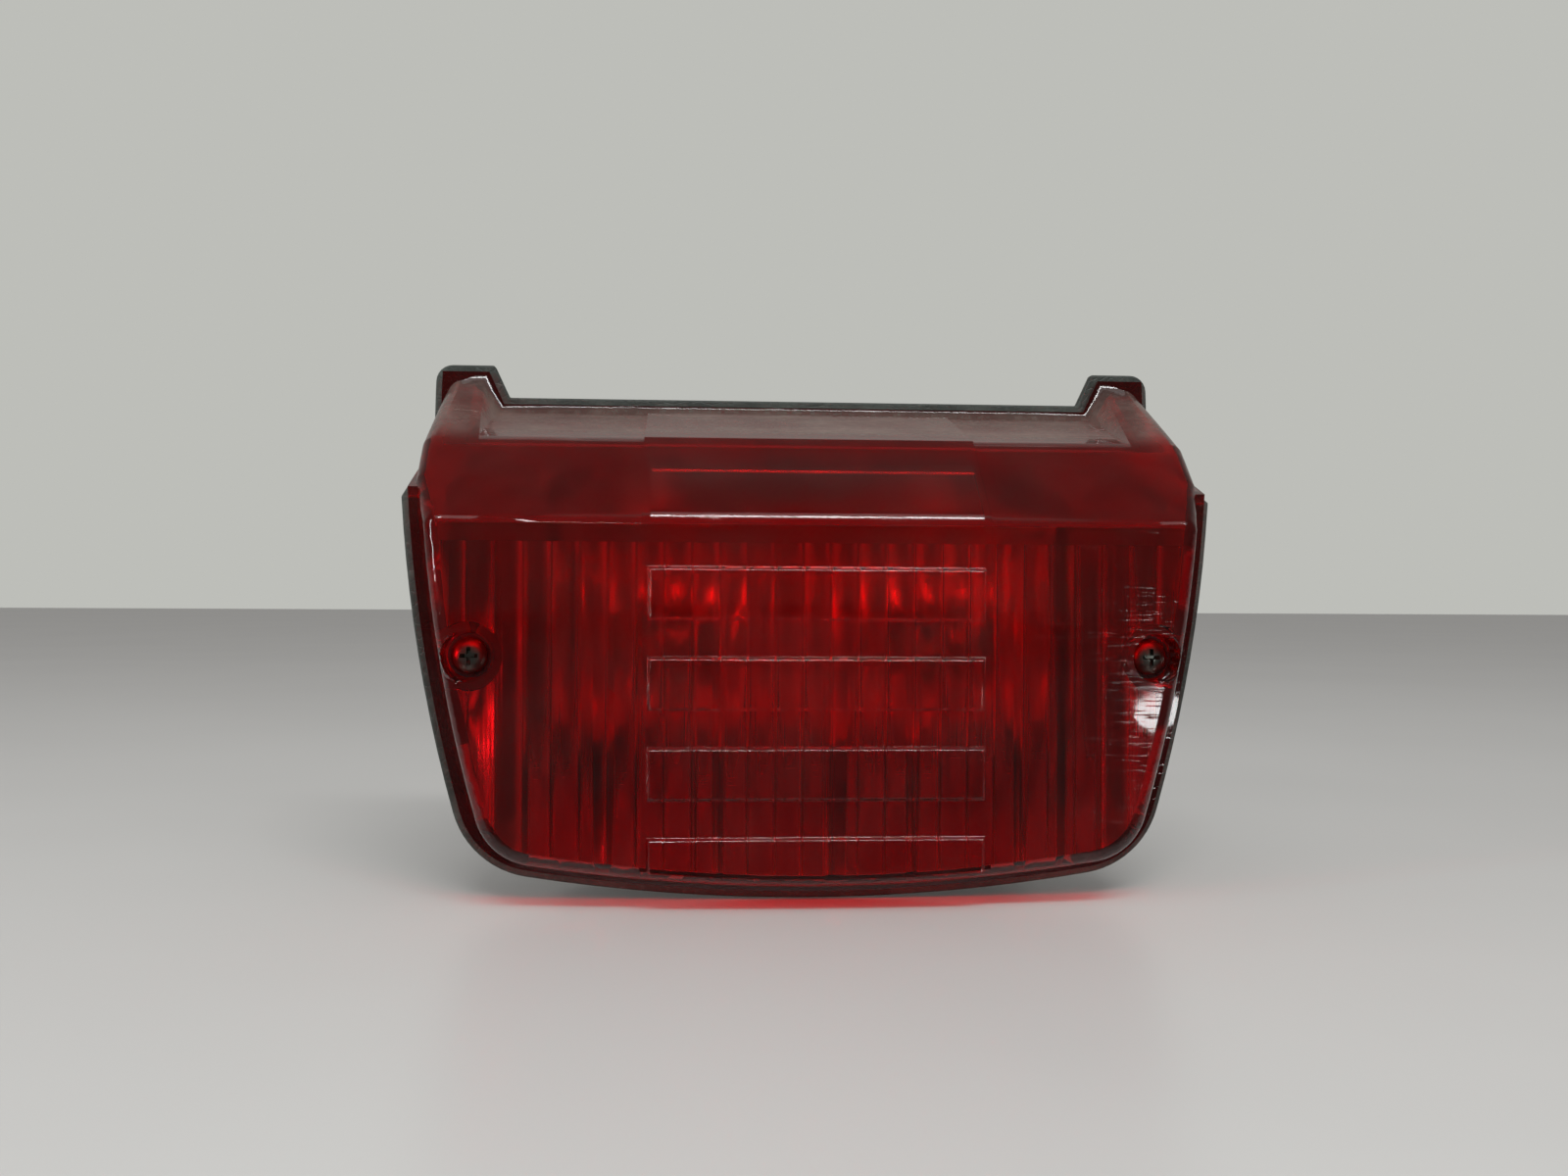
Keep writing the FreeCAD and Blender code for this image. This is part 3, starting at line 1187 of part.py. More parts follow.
bolt_holes = [rod(f"bolt_hole_{index}", "hole_radius", "-bracket_sheet - 1",
                  "bracket_sheet + 2", x, z)
              for index, (x, z) in enumerate([("hole_x", "hole_z"), ("hole_x", "-hole_z"),
                                              ("-hole_x", "hole_z"), ("-hole_x", "-hole_z")])]
node("mounting_bracket", take("mounting_bracket", join("bracket_solid", hat, web),
                              *web_holes, wire_window, *bolt_holes))

node("wire_grommet", turned("wire_grommet", [
    ("grommet_bore", f"{HOUSING_FLOOR} - grommet_lip"),
    ("grommet_flange - 1", f"{HOUSING_FLOOR} - grommet_lip"),
    ("grommet_flange", HOUSING_FLOOR), ("grommet_radius", HOUSING_FLOOR),
    ("grommet_radius", HOUSING_REAR), ("grommet_flange", HOUSING_REAR),
    ("grommet_flange - 1", f"{HOUSING_REAR} + grommet_lip"),
    ("grommet_bore", f"{HOUSING_REAR} + grommet_lip")], "0", "grommet_rise"))


# ---------------------------------------------------------------- check and write
doc.recompute()
failed = [item.Name for item in doc.Objects
          if "Invalid" in item.State or "Error" in item.State]
if failed:
    raise RuntimeError("objects that did not compute: " + ", ".join(failed))
for item in nodes:
    shape = item.Shape
    if shape.isNull() or not shape.isValid() or not shape.Solids:
        raise RuntimeError("bad shape: " + item.Label)
os.makedirs("parts", exist_ok=True)
for item in nodes:
    item.Shape.exportStep(f"parts/{item.Label}.step")
    print(f"{item.Label}: {len(item.Shape.Solids)} solid(s), {item.Shape.Volume:.1f} mm3")
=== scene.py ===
"""Motorcycle tail light: finishes, modelled details and studio around the CAD frame.

All lengths are metres in the part's own frame: +X across the lamp, +Z up, the lens
faces -Y, and the bracket's mounting face lies in the plane y = 0.
"""
import json
import logging
import math
from dataclasses import dataclass, field
from enum import Enum
from typing import Callable, Sequence

import bmesh
import bpy
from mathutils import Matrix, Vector

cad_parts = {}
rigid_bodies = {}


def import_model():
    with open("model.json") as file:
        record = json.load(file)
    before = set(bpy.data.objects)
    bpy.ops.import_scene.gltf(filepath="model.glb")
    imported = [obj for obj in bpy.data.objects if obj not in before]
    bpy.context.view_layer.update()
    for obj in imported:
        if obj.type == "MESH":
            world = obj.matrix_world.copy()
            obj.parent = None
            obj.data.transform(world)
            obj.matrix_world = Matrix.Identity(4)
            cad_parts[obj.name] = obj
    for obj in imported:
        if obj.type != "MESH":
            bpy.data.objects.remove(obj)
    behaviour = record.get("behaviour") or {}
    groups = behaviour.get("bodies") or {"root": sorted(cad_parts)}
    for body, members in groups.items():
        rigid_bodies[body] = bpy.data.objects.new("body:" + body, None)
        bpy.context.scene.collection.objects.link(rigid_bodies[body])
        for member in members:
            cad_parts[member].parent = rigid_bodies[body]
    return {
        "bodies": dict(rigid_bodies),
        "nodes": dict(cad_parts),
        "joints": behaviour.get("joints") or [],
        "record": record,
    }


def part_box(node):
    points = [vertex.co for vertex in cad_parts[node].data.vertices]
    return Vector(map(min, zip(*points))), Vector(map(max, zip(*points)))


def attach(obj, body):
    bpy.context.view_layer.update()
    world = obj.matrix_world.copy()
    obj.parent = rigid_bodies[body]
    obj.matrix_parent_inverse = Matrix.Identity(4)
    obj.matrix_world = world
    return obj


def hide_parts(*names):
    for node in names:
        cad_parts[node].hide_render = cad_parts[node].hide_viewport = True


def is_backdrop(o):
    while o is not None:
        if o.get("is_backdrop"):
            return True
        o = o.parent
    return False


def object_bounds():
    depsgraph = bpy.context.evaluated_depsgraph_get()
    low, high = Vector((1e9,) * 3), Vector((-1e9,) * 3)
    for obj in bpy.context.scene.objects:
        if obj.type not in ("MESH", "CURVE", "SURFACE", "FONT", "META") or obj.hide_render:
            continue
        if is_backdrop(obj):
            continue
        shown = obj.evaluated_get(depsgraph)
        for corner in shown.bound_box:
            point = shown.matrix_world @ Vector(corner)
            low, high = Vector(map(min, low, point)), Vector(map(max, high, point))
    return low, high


LOG = logging.getLogger("tail_light")
Colour = tuple[float, float, float]
Link = bpy.types.NodeSocket
Piece = bpy.types.Object
MM = 0.001
LAMP_BODY = "lamp"
TINT_DEPTH = 0.86
FLOOR_GAP = 0.3 * MM


class Side(Enum):
    """The two ends of the lamp, as the sign of X."""

    LEFT = -1
    RIGHT = 1

    @property
    def word(self) -> str:
        """The side's name as it ends a node's name."""
        return self.name.lower()


class LampShape(Enum):
    """Outlines that a soft lamp can have."""

    RECTANGLE = "RECTANGLE"
    ELLIPSE = "ELLIPSE"


# ---- material graphs
class Graph:
    """One material's node tree, with short ways to add and link nodes."""

    def __init__(self, name: str) -> None:
        """Start an empty material.

        Args:
            name: the material's name.
        """
        self.material = bpy.data.materials.new(name)
        self.material.use_nodes = True
        self.tree = self.material.node_tree
        self.tree.nodes.clear()
        self.output = self.tree.nodes.new("ShaderNodeOutputMaterial")
        self.place = self.add("ShaderNodeTexCoord").outputs["Object"]

    def add(self, kind: str, settings: dict | None = None, **inputs: object) -> bpy.types.Node:
        """Add a node.

        Args:
            kind: the node's Blender type.
            settings: attributes to set on it.
            **inputs: socket values or links; an underscore stands for a space, and
                i0, i1 ... name a socket by its number.

        Returns:
            The new node.
        """
        node = self.tree.nodes.new(kind)
        for key, value in (settings or {}).items():
            setattr(node, key, value)
        for key, value in inputs.items():
            numbered = key[0] == "i" and key[1:].isdigit()
            socket = node.inputs[int(key[1:]) if numbered else key.replace("_", " ")]
            if isinstance(value, Link):
                self.tree.links.new(value, socket)
            else:
                socket.default_value = value
        return node

    def noise(self, scale: float, detail: float = 3.0, rough: float = 0.5,
              stretch: Sequence[float] = (1.0, 1.0, 1.0)) -> Link:
        """Noise from 0 to 1 in the part's frame, with scale in cells per metre."""
        mapping = self.add("ShaderNodeMapping", Vector=self.place, Scale=tuple(stretch))
        return self.add("ShaderNodeTexNoise", Vector=mapping.outputs[0], Scale=scale,
                        Detail=detail, Roughness=rough).outputs[0]

    def ramp(self, value: Link, low: float, high: float,
             start: float = 0.0, end: float = 1.0) -> Link:
        """Map low..high to start..end, held flat beyond.

        Args:
            value: what to map.
            low: input at start.
            high: input at end.
            start: output at low.
            end: output at high.

        Returns:
            The mapped value socket.
        """
        node = self.add("ShaderNodeMapRange", {"interpolation_type": "SMOOTHSTEP"}, Value=value)
        for socket, number in zip(list(node.inputs)[1:5], (low, high, start, end)):
            socket.default_value = number
        return node.outputs[0]

    def maths(self, operation: str, first: object, second: object = 0.0) -> Link:
        """One arithmetic step, by Blender's name for it, on values or sockets."""
        node = self.add("ShaderNodeMath", {"operation": operation}, i0=first, i1=second)
        return node.outputs[0]

    def blend(self, share: object, first: object, second: object) -> Link:
        """Mix two colours.

        Args:
            share: how much of the second, 0 to 1.
            first: a colour or socket.
            second: a colour or socket.

        Returns:
            The mixed colour's socket.
        """
        full = [(*c, 1.0) if isinstance(c, tuple) and len(c) == 3 else c for c in (first, second)]
        node = self.add("ShaderNodeMix", {"data_type": "RGBA"}, i0=share, i6=full[0], i7=full[1])
        return node.outputs[2]

    def bump(self, height: Link, depth: float,
             normal: Link | None = None) -> Link:
        """Turn a height into a normal.

        Args:
            height: value from 0 to 1.
            depth: what 1 stands for, in metres.
            normal: an earlier bump to build on.

        Returns:
            The normal's socket.
        """
        node = self.add("ShaderNodeBump", Height=height, Distance=depth, Strength=1.0)
        if normal is not None:
            self.tree.links.new(normal, node.inputs["Normal"])
        return node.outputs[0]

    def facing(self, axis: str) -> Link:
        """One component of the surface's normal: "X", "Y" or "Z"."""
        geometry = self.add("ShaderNodeNewGeometry")
        split = self.add("ShaderNodeSeparateXYZ", Vector=geometry.outputs["Normal"])
        return split.outputs[axis]

    def height_at(self, axis: str) -> Link:
        """One coordinate of the shaded point, in metres."""
        return self.add("ShaderNodeSeparateXYZ", Vector=self.place).outputs[axis]

    def edge_wear(self, radius: float) -> Link:
        """Find edges.

        Args:
            radius: how near an edge has to be, in metres.

        Returns:
            A value socket that rises towards 1 where the surface turns within the radius.
        """
        bevel = self.add("ShaderNodeBevel", {"samples": 4}, Radius=radius)
        geometry = self.add("ShaderNodeNewGeometry")
        dot = self.add("ShaderNodeVectorMath", {"operation": "DOT_PRODUCT"},
                       i0=bevel.outputs[0], i1=geometry.outputs["Normal"])
        return self.ramp(dot.outputs["Value"], 0.995, 0.80)

    def cloudy_tint(self, cloud: Link, low: float, high: float,
                    colour: Colour) -> Link:
        """A clear material's tint, which darkens as the noise rises from low to high."""
        darker = tuple(channel * TINT_DEPTH for channel in colour)
        return self.blend(self.ramp(cloud, low, high), colour, darker)

    def clear_finish(self, shader: bpy.types.Node, shadow: Colour) -> bpy.types.Material:
        """Connect a clear surface whose shadow lets tinted light through.

        Args:
            shader: the surface itself.
            shadow: tint of the light that passes.

        Returns:
            The material.
        """
        clear = self.add("ShaderNodeBsdfTransparent", Color=(*shadow, 1.0))
        path = self.add("ShaderNodeLightPath")
        return self.finish(self.add("ShaderNodeMixShader", i0=path.outputs["Is Shadow Ray"],
                                    i1=shader.outputs[0], i2=clear.outputs[0]))

    def opaque(self, colour: Link, rough: Link, normal: Link,
               **more: object) -> bpy.types.Material:
        """Connect an opaque surface and return the material."""
        return self.finish(self.add("ShaderNodeBsdfPrincipled", Base_Color=colour,
                                    Roughness=rough, Normal=normal, **more))

    def finish(self, shader: bpy.types.Node) -> bpy.types.Material:
        """Connect the surface and return the material."""
        self.tree.links.new(shader.outputs[0], self.output.inputs["Surface"])
        return self.material


# ---- finishes
@dataclass(frozen=True)
class RedAcrylic:
    """Aged red lens plastic: clear and glossy, with fine scratches and a pale film on top that is
    dust and a painted reflection of the pale room.
    """

    colour: Colour = (0.95, 0.003, 0.008)
    shadow_tint: Colour = (0.88, 0.02, 0.03)
    # tones and shares of the pale film: dust on the face; on the roof, dust and a painted reflection
    # of the pale room
    dust: Colour = (0.15, 0.095, 0.080)
    grime: Colour = (0.20, 0.15, 0.125)
    face_dust: float = 0.012
    top_dust: float = 0.30
    ior: float = 1.49
    inner_roughness: float = 0.32
    crack_place: float = -65.5 * MM
    crack_wander: float = 9.0 * MM
    crack_slope: float = 0.25
    crack_half_width: float = 0.22 * MM

    def scratches(self, g: Graph) -> Link:
        """Fine wiping scratches that run mostly across the lens.

        Args:
            g: the material's graph.

        Returns:
            A value socket, 1 on a scratch.
        """
        across = g.ramp(g.noise(900.0, 2.0, 0.5, (0.10, 1.0, 1.7)), 0.60, 0.72)
        slanted = g.add("ShaderNodeMapping", Vector=g.place, Rotation=(0.0, 0.55, 0.0),
                        Scale=(0.07, 1.0, 1.5))
        second = g.add("ShaderNodeTexNoise", Vector=slanted.outputs[0], Scale=1300.0,
                       Detail=1.0).outputs[0]
        return g.maths("MAXIMUM", across, g.ramp(second, 0.66, 0.74))

    def film_amount(self, g: Graph, haze: Link) -> Link:
        """Share of the surface that the pale film hides: most on the roof and the ridges, where it is
        dust and a painted reflection of the pale room.

        Args:
            g: the material's graph.
            haze: cloudy noise that the dust on the face follows.

        Returns:
            A value socket from 0 to 1.
        """
        # painted reflection: upward faces of the roof get the pale film, which stands for dust and
        # for the room mirrored at a grazing angle
        upward = g.ramp(g.facing("Z"), 0.15, 0.90)
        rearward = g.ramp(g.height_at("Y"), -70.0 * MM, -54.0 * MM)
        speckle = g.ramp(g.noise(520.0, 5.0, 0.7), 0.42, 0.68)
        streak = g.ramp(g.noise(60.0, 4.0, 0.6, (0.30, 1.0, 1.0)), 0.35, 0.7)
        share = g.maths("ADD", g.maths("MULTIPLY", speckle, 0.15),
                        g.maths("MULTIPLY", streak, 0.25))
        top = g.maths("MULTIPLY", g.maths("MULTIPLY", upward, rearward),
                      g.maths("ADD", share, self.top_dust))
        face = g.maths("MULTIPLY", g.ramp(haze, 0.25, 0.8, 0.5, 2.2), self.face_dust)
        return g.maths("MAXIMUM", g.maths("ADD", top, face), self.crack(g))

    def crack(self, g: Graph) -> Link:
        """A hairline crack that wanders across the left ridge.

        Args:
            g: the material's graph.

        Returns:
            A value socket, near 1 on the crack.
        """
        wander = g.maths("MULTIPLY", g.noise(110.0, 4.0, 0.6), self.crack_wander)
        along = g.maths("ADD", g.maths("ADD", g.height_at("Y"), wander),
                        g.maths("MULTIPLY", g.height_at("X"), self.crack_slope))
        off = g.maths("ABSOLUTE", g.maths("SUBTRACT", along, self.crack_place))
        line = g.ramp(off, self.crack_half_width, 0.08 * MM)
        there = g.maths("MULTIPLY", g.ramp(g.height_at("X"), -76.5 * MM, -78.5 * MM),
                        g.ramp(g.height_at("Z"), 43.0 * MM, 45.0 * MM))
        return g.maths("MULTIPLY", g.maths("MULTIPLY", line, there), 0.9)

    def inner(self) -> bpy.types.Material:
        """Build the lens's inner face: the same plastic with a matt moulded finish."""
        g = Graph("red_acrylic_inner")
        cloud = g.noise(70.0, 4.0)
        rough = g.ramp(cloud, 0.3, 0.75, self.inner_roughness - 0.04, self.inner_roughness + 0.06)
        normal = g.bump(g.noise(500.0, 2.0), 0.008 * MM)
        glass = g.add("ShaderNodeBsdfPrincipled", Roughness=rough, Normal=normal, IOR=self.ior,
                      Base_Color=g.cloudy_tint(cloud, 0.35, 0.7, self.colour),
                      Transmission_Weight=1.0)
        return g.clear_finish(glass, self.shadow_tint)

    def material(self) -> bpy.types.Material:
        """Build the lens material."""
        g = Graph("red_acrylic")
        cloud = g.noise(28.0, 4.0)
        scratch = self.scratches(g)
        haze = g.noise(60.0, 5.0, 0.6)
        rough = g.maths("ADD", g.ramp(haze, 0.35, 0.75, 0.01, 0.06),
                        g.maths("MULTIPLY", scratch, 0.10))
        bumps = g.bump(g.noise(240.0, 2.0), 0.006 * MM)
        bumps = g.bump(scratch, 0.008 * MM, bumps)
        glass = g.add("ShaderNodeBsdfPrincipled", Roughness=rough, Normal=bumps, IOR=self.ior,
                      Base_Color=g.cloudy_tint(cloud, 0.35, 0.7, self.colour),
                      Transmission_Weight=1.0)
        film = g.add("ShaderNodeBsdfPrincipled",
                     Base_Color=g.blend(g.ramp(haze, 0.3, 0.7), self.dust, self.grime),
                     Roughness=0.45, Normal=bumps)
        # the pale film: dust on the face, and dust with a painted reflection on the roof
        dust_and_reflection = g.add("ShaderNodeMixShader", i0=self.film_amount(g, haze),
                      i1=glass.outputs[0], i2=film.outputs[0])
        return g.clear_finish(dust_and_reflection, self.shadow_tint)


@dataclass(frozen=True)
class ClearGlass:
    """Clear glass or acrylic with a faint tint."""

    name: str
    colour: Colour = (0.96, 0.97, 0.96)
    ior: float = 1.5
    clouding: float = 0.06

    def material(self) -> bpy.types.Material:
        """Build the glass."""
        g = Graph(self.name)
        cloud = g.noise(90.0, 4.0, 0.6)
        rough = g.ramp(cloud, 0.35, 0.8, 0.0, self.clouding)
        glass = g.add("ShaderNodeBsdfPrincipled", Roughness=rough, IOR=self.ior,
                      Base_Color=g.cloudy_tint(cloud, 0.4, 0.75, self.colour),
                      Transmission_Weight=1.0)
        return g.clear_finish(glass, self.colour)


@dataclass(frozen=True)
class Rubber:
    """Black rubber that has bleached and cracked a little, with grey dust in it."""

    name: str
    colour: Colour = (0.020, 0.024, 0.022)
    bloom: Colour = (0.085, 0.095, 0.085)
    roughness: float = 0.62

    def material(self) -> bpy.types.Material:
        """Build the rubber."""
        g = Graph(self.name)
        patches = g.ramp(g.noise(75.0, 5.0, 0.6), 0.40, 0.72)
        dust = g.ramp(g.noise(700.0, 4.0, 0.7), 0.5, 0.75)
        wear = g.edge_wear(0.6 * MM)
        share = g.maths("MULTIPLY", g.maths("ADD", patches, dust), 0.42)
        share = g.maths("ADD", share, g.maths("MULTIPLY", wear, 0.25))
        colour = g.blend(share, self.colour, self.bloom)
        cracks = g.add("ShaderNodeTexVoronoi", {"feature": "DISTANCE_TO_EDGE"}, Vector=g.place,
                       Scale=420.0).outputs["Distance"]
        normal = g.bump(g.ramp(cracks, 0.0, 0.08), 0.06 * MM)
        normal = g.bump(g.noise(1500.0, 3.0), 0.05 * MM, normal)
        rough = g.ramp(patches, 0.0, 1.0, self.roughness - 0.12, self.roughness + 0.2)
        return g.opaque(colour, rough, normal, Specular_IOR_Level=0.4)


@dataclass(frozen=True)
class MouldedPlastic:
    """Moulded plastic with a spark-eroded grain, cloudy worn patches and rubbed edges."""

    name: str
    colour: Colour
    worn: Colour
    roughness: float = 0.5
    grain: float = 0.04 * MM
    scuff: float = 0.02 * MM

    def material(self) -> bpy.types.Material:
        """Build the plastic."""
        g = Graph(self.name)
        cloud = g.ramp(g.noise(40.0, 5.0, 0.6), 0.35, 0.75)
        wear = g.edge_wear(0.7 * MM)
        share = g.maths("ADD", g.maths("MULTIPLY", cloud, 0.35), g.maths("MULTIPLY", wear, 0.6))
        colour = g.blend(share, self.colour, self.worn)
        normal = g.bump(g.noise(2600.0, 2.0), self.grain)
        normal = g.bump(g.ramp(g.noise(700.0, 2.0, 0.5, (0.15, 1.0, 1.0)), 0.62, 0.72),
                        self.scuff, normal)
        rough = g.ramp(cloud, 0.0, 1.0, self.roughness - 0.08, self.roughness + 0.15)
        return g.opaque(colour, rough, normal)


@dataclass(frozen=True)
class PlatedMetal:
    """Plated or bare metal: machining lines, dulled patches and stained spots."""

    name: str
    colour: Colour
    tarnish: Colour
    roughness: float = 0.3
    spots: float = 0.35
    lines: float = 0.01 * MM

    def material(self) -> bpy.types.Material:
        """Build the metal."""
        g = Graph(self.name)
        dull = g.ramp(g.noise(160.0, 5.0, 0.65), 0.38, 0.72)
        spot = g.ramp(g.noise(650.0, 4.0, 0.7), 0.60, 0.74)
        share = g.maths("MULTIPLY", g.maths("ADD", g.maths("MULTIPLY", dull, 0.6), spot),
                        self.spots)
        colour = g.blend(share, self.colour, self.tarnish)
        drawn = g.noise(3000.0, 2.0, 0.5, (1.0, 0.08, 1.0))
        normal = g.bump(drawn, self.lines)
        rough = g.maths("ADD", g.ramp(dull, 0.0, 1.0, self.roughness - 0.06,
                                      self.roughness + 0.16),
                        g.maths("MULTIPLY", spot, 0.15))
        metal = g.maths("SUBTRACT", 1.0, g.maths("MULTIPLY", spot, 0.35))
        return g.opaque(colour, rough, normal, Metallic=metal)


@dataclass(frozen=True)
class BracketPaint:
    """Satin black paint on pressed steel, chipped to metal and rust along its edges."""

    colour: Colour = (0.018, 0.018, 0.019)
    steel: Colour = (0.30, 0.28, 0.26)
    rust: Colour = (0.16, 0.055, 0.02)
    faded: Colour = (0.032, 0.032, 0.034)

    def material(self) -> bpy.types.Material:
        """Build the paint."""
        g = Graph("bracket_paint")
        chips = g.ramp(g.noise(380.0, 5.0, 0.7), 0.50, 0.58)
        wear = g.maths("MULTIPLY", g.edge_wear(1.1 * MM), chips)
        rusty = g.ramp(g.noise(240.0, 4.0, 0.6), 0.45, 0.6)
        bare = g.blend(rusty, self.steel, self.rust)
        cloud = g.ramp(g.noise(45.0, 4.0), 0.35, 0.7)
        paint = g.blend(cloud, self.colour, self.faded)
        colour = g.blend(wear, paint, bare)
        normal = g.bump(g.noise(520.0, 3.0), 0.03 * MM)
        rough = g.maths("ADD", g.ramp(cloud, 0.0, 1.0, 0.34, 0.50),
                        g.maths("MULTIPLY", wear, 0.25))
        return g.opaque(colour, rough, normal)


@dataclass(frozen=True)
class TableTop:
    """Pale glossy table that the lamp stands on."""

    colour: Colour = (0.585, 0.58, 0.56)
    # painted shade: the dark colour the table shows where the lens mirrors its front part, and in
    # part where it is seen through the lens
    shade: Colour = (0.06, 0.06, 0.06)
    seen_through: float = 0.6
    shade_start: float = -86.0 * MM
    shade_full: float = -130.0 * MM

    def material(self) -> bpy.types.Material:
        """Build the table's surface; mirrored in the lens, its front part is a painted shade, and
        seen through the lens it is partly painted dark.
        """
        g = Graph("pale_table")
        cloud = g.ramp(g.noise(6.0, 3.0), 0.3, 0.7)
        colour = g.blend(cloud, self.colour, tuple(c * 0.97 for c in self.colour))
        top = g.add("ShaderNodeBsdfPrincipled", Base_Color=colour, Roughness=0.33,
                    Specular_IOR_Level=0.6)
        dim = g.add("ShaderNodeBsdfDiffuse", Color=(*self.shade, 1.0))
        # painted shade for glossy rays towards the front and, in part, for rays through the lens
        path = g.add("ShaderNodeLightPath")
        front = g.ramp(g.height_at("Y"), self.shade_start, self.shade_full)
        through = g.maths("MULTIPLY", path.outputs["Is Transmission Ray"], self.seen_through)
        share = g.maths("MAXIMUM", through,
                        g.maths("MULTIPLY", path.outputs["Is Glossy Ray"], front))
        both = g.add("ShaderNodeMixShader", i0=share, i1=top.outputs[0], i2=dim.outputs[0])
        return g.finish(both)


# ---- modelling bench
class Bench:
    """Modelling steps that work on one object at a time."""

    WELD = 0.002 * MM
    SEAM_WELD = 0.004 * MM
    FLAT_ANGLE = math.radians(0.6)
    BEVEL_STEPS = 2

    @staticmethod
    def clear() -> None:
        """Leave edit mode and deselect everything."""
        if bpy.context.object and bpy.context.object.mode != "OBJECT":
            bpy.ops.object.mode_set(mode="OBJECT")
        bpy.ops.object.select_all(action="DESELECT")

    @staticmethod
    def hold(piece: Piece) -> None:
        """Make one object the only selected and the active one.

        Args:
            piece: the object.
        """
        Bench.clear()
        piece.select_set(True)
        bpy.context.view_layer.objects.active = piece

    @staticmethod
    def edit(piece: Piece, mode: str = "VERT") -> None:
        """Enter edit mode with nothing selected.

        Args:
            piece: the object.
            mode: VERT, EDGE or FACE.
        """
        Bench.hold(piece)
        bpy.ops.object.mode_set(mode="EDIT")
        bpy.ops.mesh.select_mode(type=mode)
        bpy.ops.mesh.select_all(action="DESELECT")

    @staticmethod
    def pick_faces(piece: Piece, test: Callable[[bmesh.types.BMFace], bool]) -> int:
        """Select the faces that pass a test, in edit mode.

        Args:
            piece: the object in edit mode.
            test: says whether a face is wanted.

        Returns:
            How many faces are selected.
        """
        shape = bmesh.from_edit_mesh(piece.data)
        count = 0
        for face in shape.faces:
            wanted = bool(test(face))
            face.select_set(wanted)
            count += wanted
        bmesh.update_edit_mesh(piece.data)
        return count

    @staticmethod
    def modify(piece: Piece, kind: str, **settings: object) -> None:
        """Add a modifier and apply it.

        Args:
            piece: the object.
            kind: the modifier's type.
            **settings: its properties.
        """
        Bench.hold(piece)
        modifier = piece.modifiers.new(kind.title(), kind)
        for key, value in settings.items():
            setattr(modifier, key, value)
        bpy.ops.object.modifier_apply(modifier=modifier.name)

    @staticmethod
    def soften(piece: Piece, width: float, degrees: float) -> None:
        """Bevel the edges that turn by more than an angle."""
        Bench.modify(piece, "BEVEL", width=width, segments=Bench.BEVEL_STEPS, limit_method="ANGLE",
                     angle_limit=math.radians(degrees), use_clamp_overlap=True)

    @staticmethod
    def settle(piece: Piece) -> Piece:
        """Move an object's place into its mesh, so that the object sits at the origin."""
        Bench.hold(piece)
        bpy.ops.object.transform_apply(location=True, rotation=True, scale=True)
        return piece

    @staticmethod
    def smooth(piece: Piece, degrees: float = 35.0) -> None:
        """Shade smooth, with edges sharper than the angle kept crisp."""
        Bench.hold(piece)
        bpy.ops.object.shade_smooth_by_angle(angle=math.radians(degrees))
        Bench.modify(piece, "WEIGHTED_NORMAL", mode="FACE_AREA", weight=100, keep_sharp=True)

    @staticmethod
    def merged_copy(node: Piece, name: str) -> Piece:
        """Copy a CAD node as one welded mesh with its flat faces joined.

        Args:
            node: the CAD node's object.
            name: the copy's name.

        Returns:
            The new object.
        """
        piece = bpy.data.objects.new(name, node.data.copy())
        bpy.context.scene.collection.objects.link(piece)
        Bench.edit(piece)
        bpy.ops.mesh.select_all(action="SELECT")
        bpy.ops.mesh.remove_doubles(threshold=Bench.WELD)
        bpy.ops.mesh.dissolve_limited(angle_limit=Bench.FLAT_ANGLE)
        bpy.ops.object.mode_set(mode="OBJECT")
        return piece

    @staticmethod
    def start(name: str) -> Piece:
        """Name the primitive that was just added, with its place moved into its mesh."""
        piece = bpy.context.object
        piece.name = piece.data.name = name
        return Bench.settle(piece)

    @staticmethod
    def block(name: str, low: Sequence[float], high: Sequence[float],
              edge: float = 0.0) -> Piece:
        """A block between two corners, with its edges bevelled.

        Args:
            name: the object's name.
            low: its lowest corner.
            high: its highest corner.
            edge: width of the bevel, or 0 for none.

        Returns:
            The new object.
        """
        Bench.clear()
        middle = (Vector(low) + Vector(high)) / 2
        bpy.ops.mesh.primitive_cube_add(size=1.0, location=middle, scale=Vector(high) - Vector(low))
        piece = Bench.start(name)
        if edge:
            Bench.modify(piece, "BEVEL", width=edge, segments=Bench.BEVEL_STEPS,
                         limit_method="NONE")
        return piece

    @staticmethod
    def trace(name: str, points: Sequence[Sequence[float]]) -> Piece:
        """Draw a line of edges by extruding one vertex from point to point.

        Args:
            name: the object's name.
            points: the places that the line visits.

        Returns:
            The new object, with nothing but the line in its mesh.
        """
        Bench.clear()
        first = Vector(points[0])
        bpy.ops.mesh.primitive_plane_add(size=MM, location=first)
        piece = Bench.start(name)
        Bench.edit(piece)
        bpy.ops.mesh.select_all(action="SELECT")
        bpy.ops.mesh.merge(type="CENTER")
        last = first
        for point in points[1:]:
            bpy.ops.mesh.extrude_region_move(
                TRANSFORM_OT_translate={"value": Vector(point) - last})
            last = Vector(point)
        bpy.ops.object.mode_set(mode="OBJECT")
        return piece

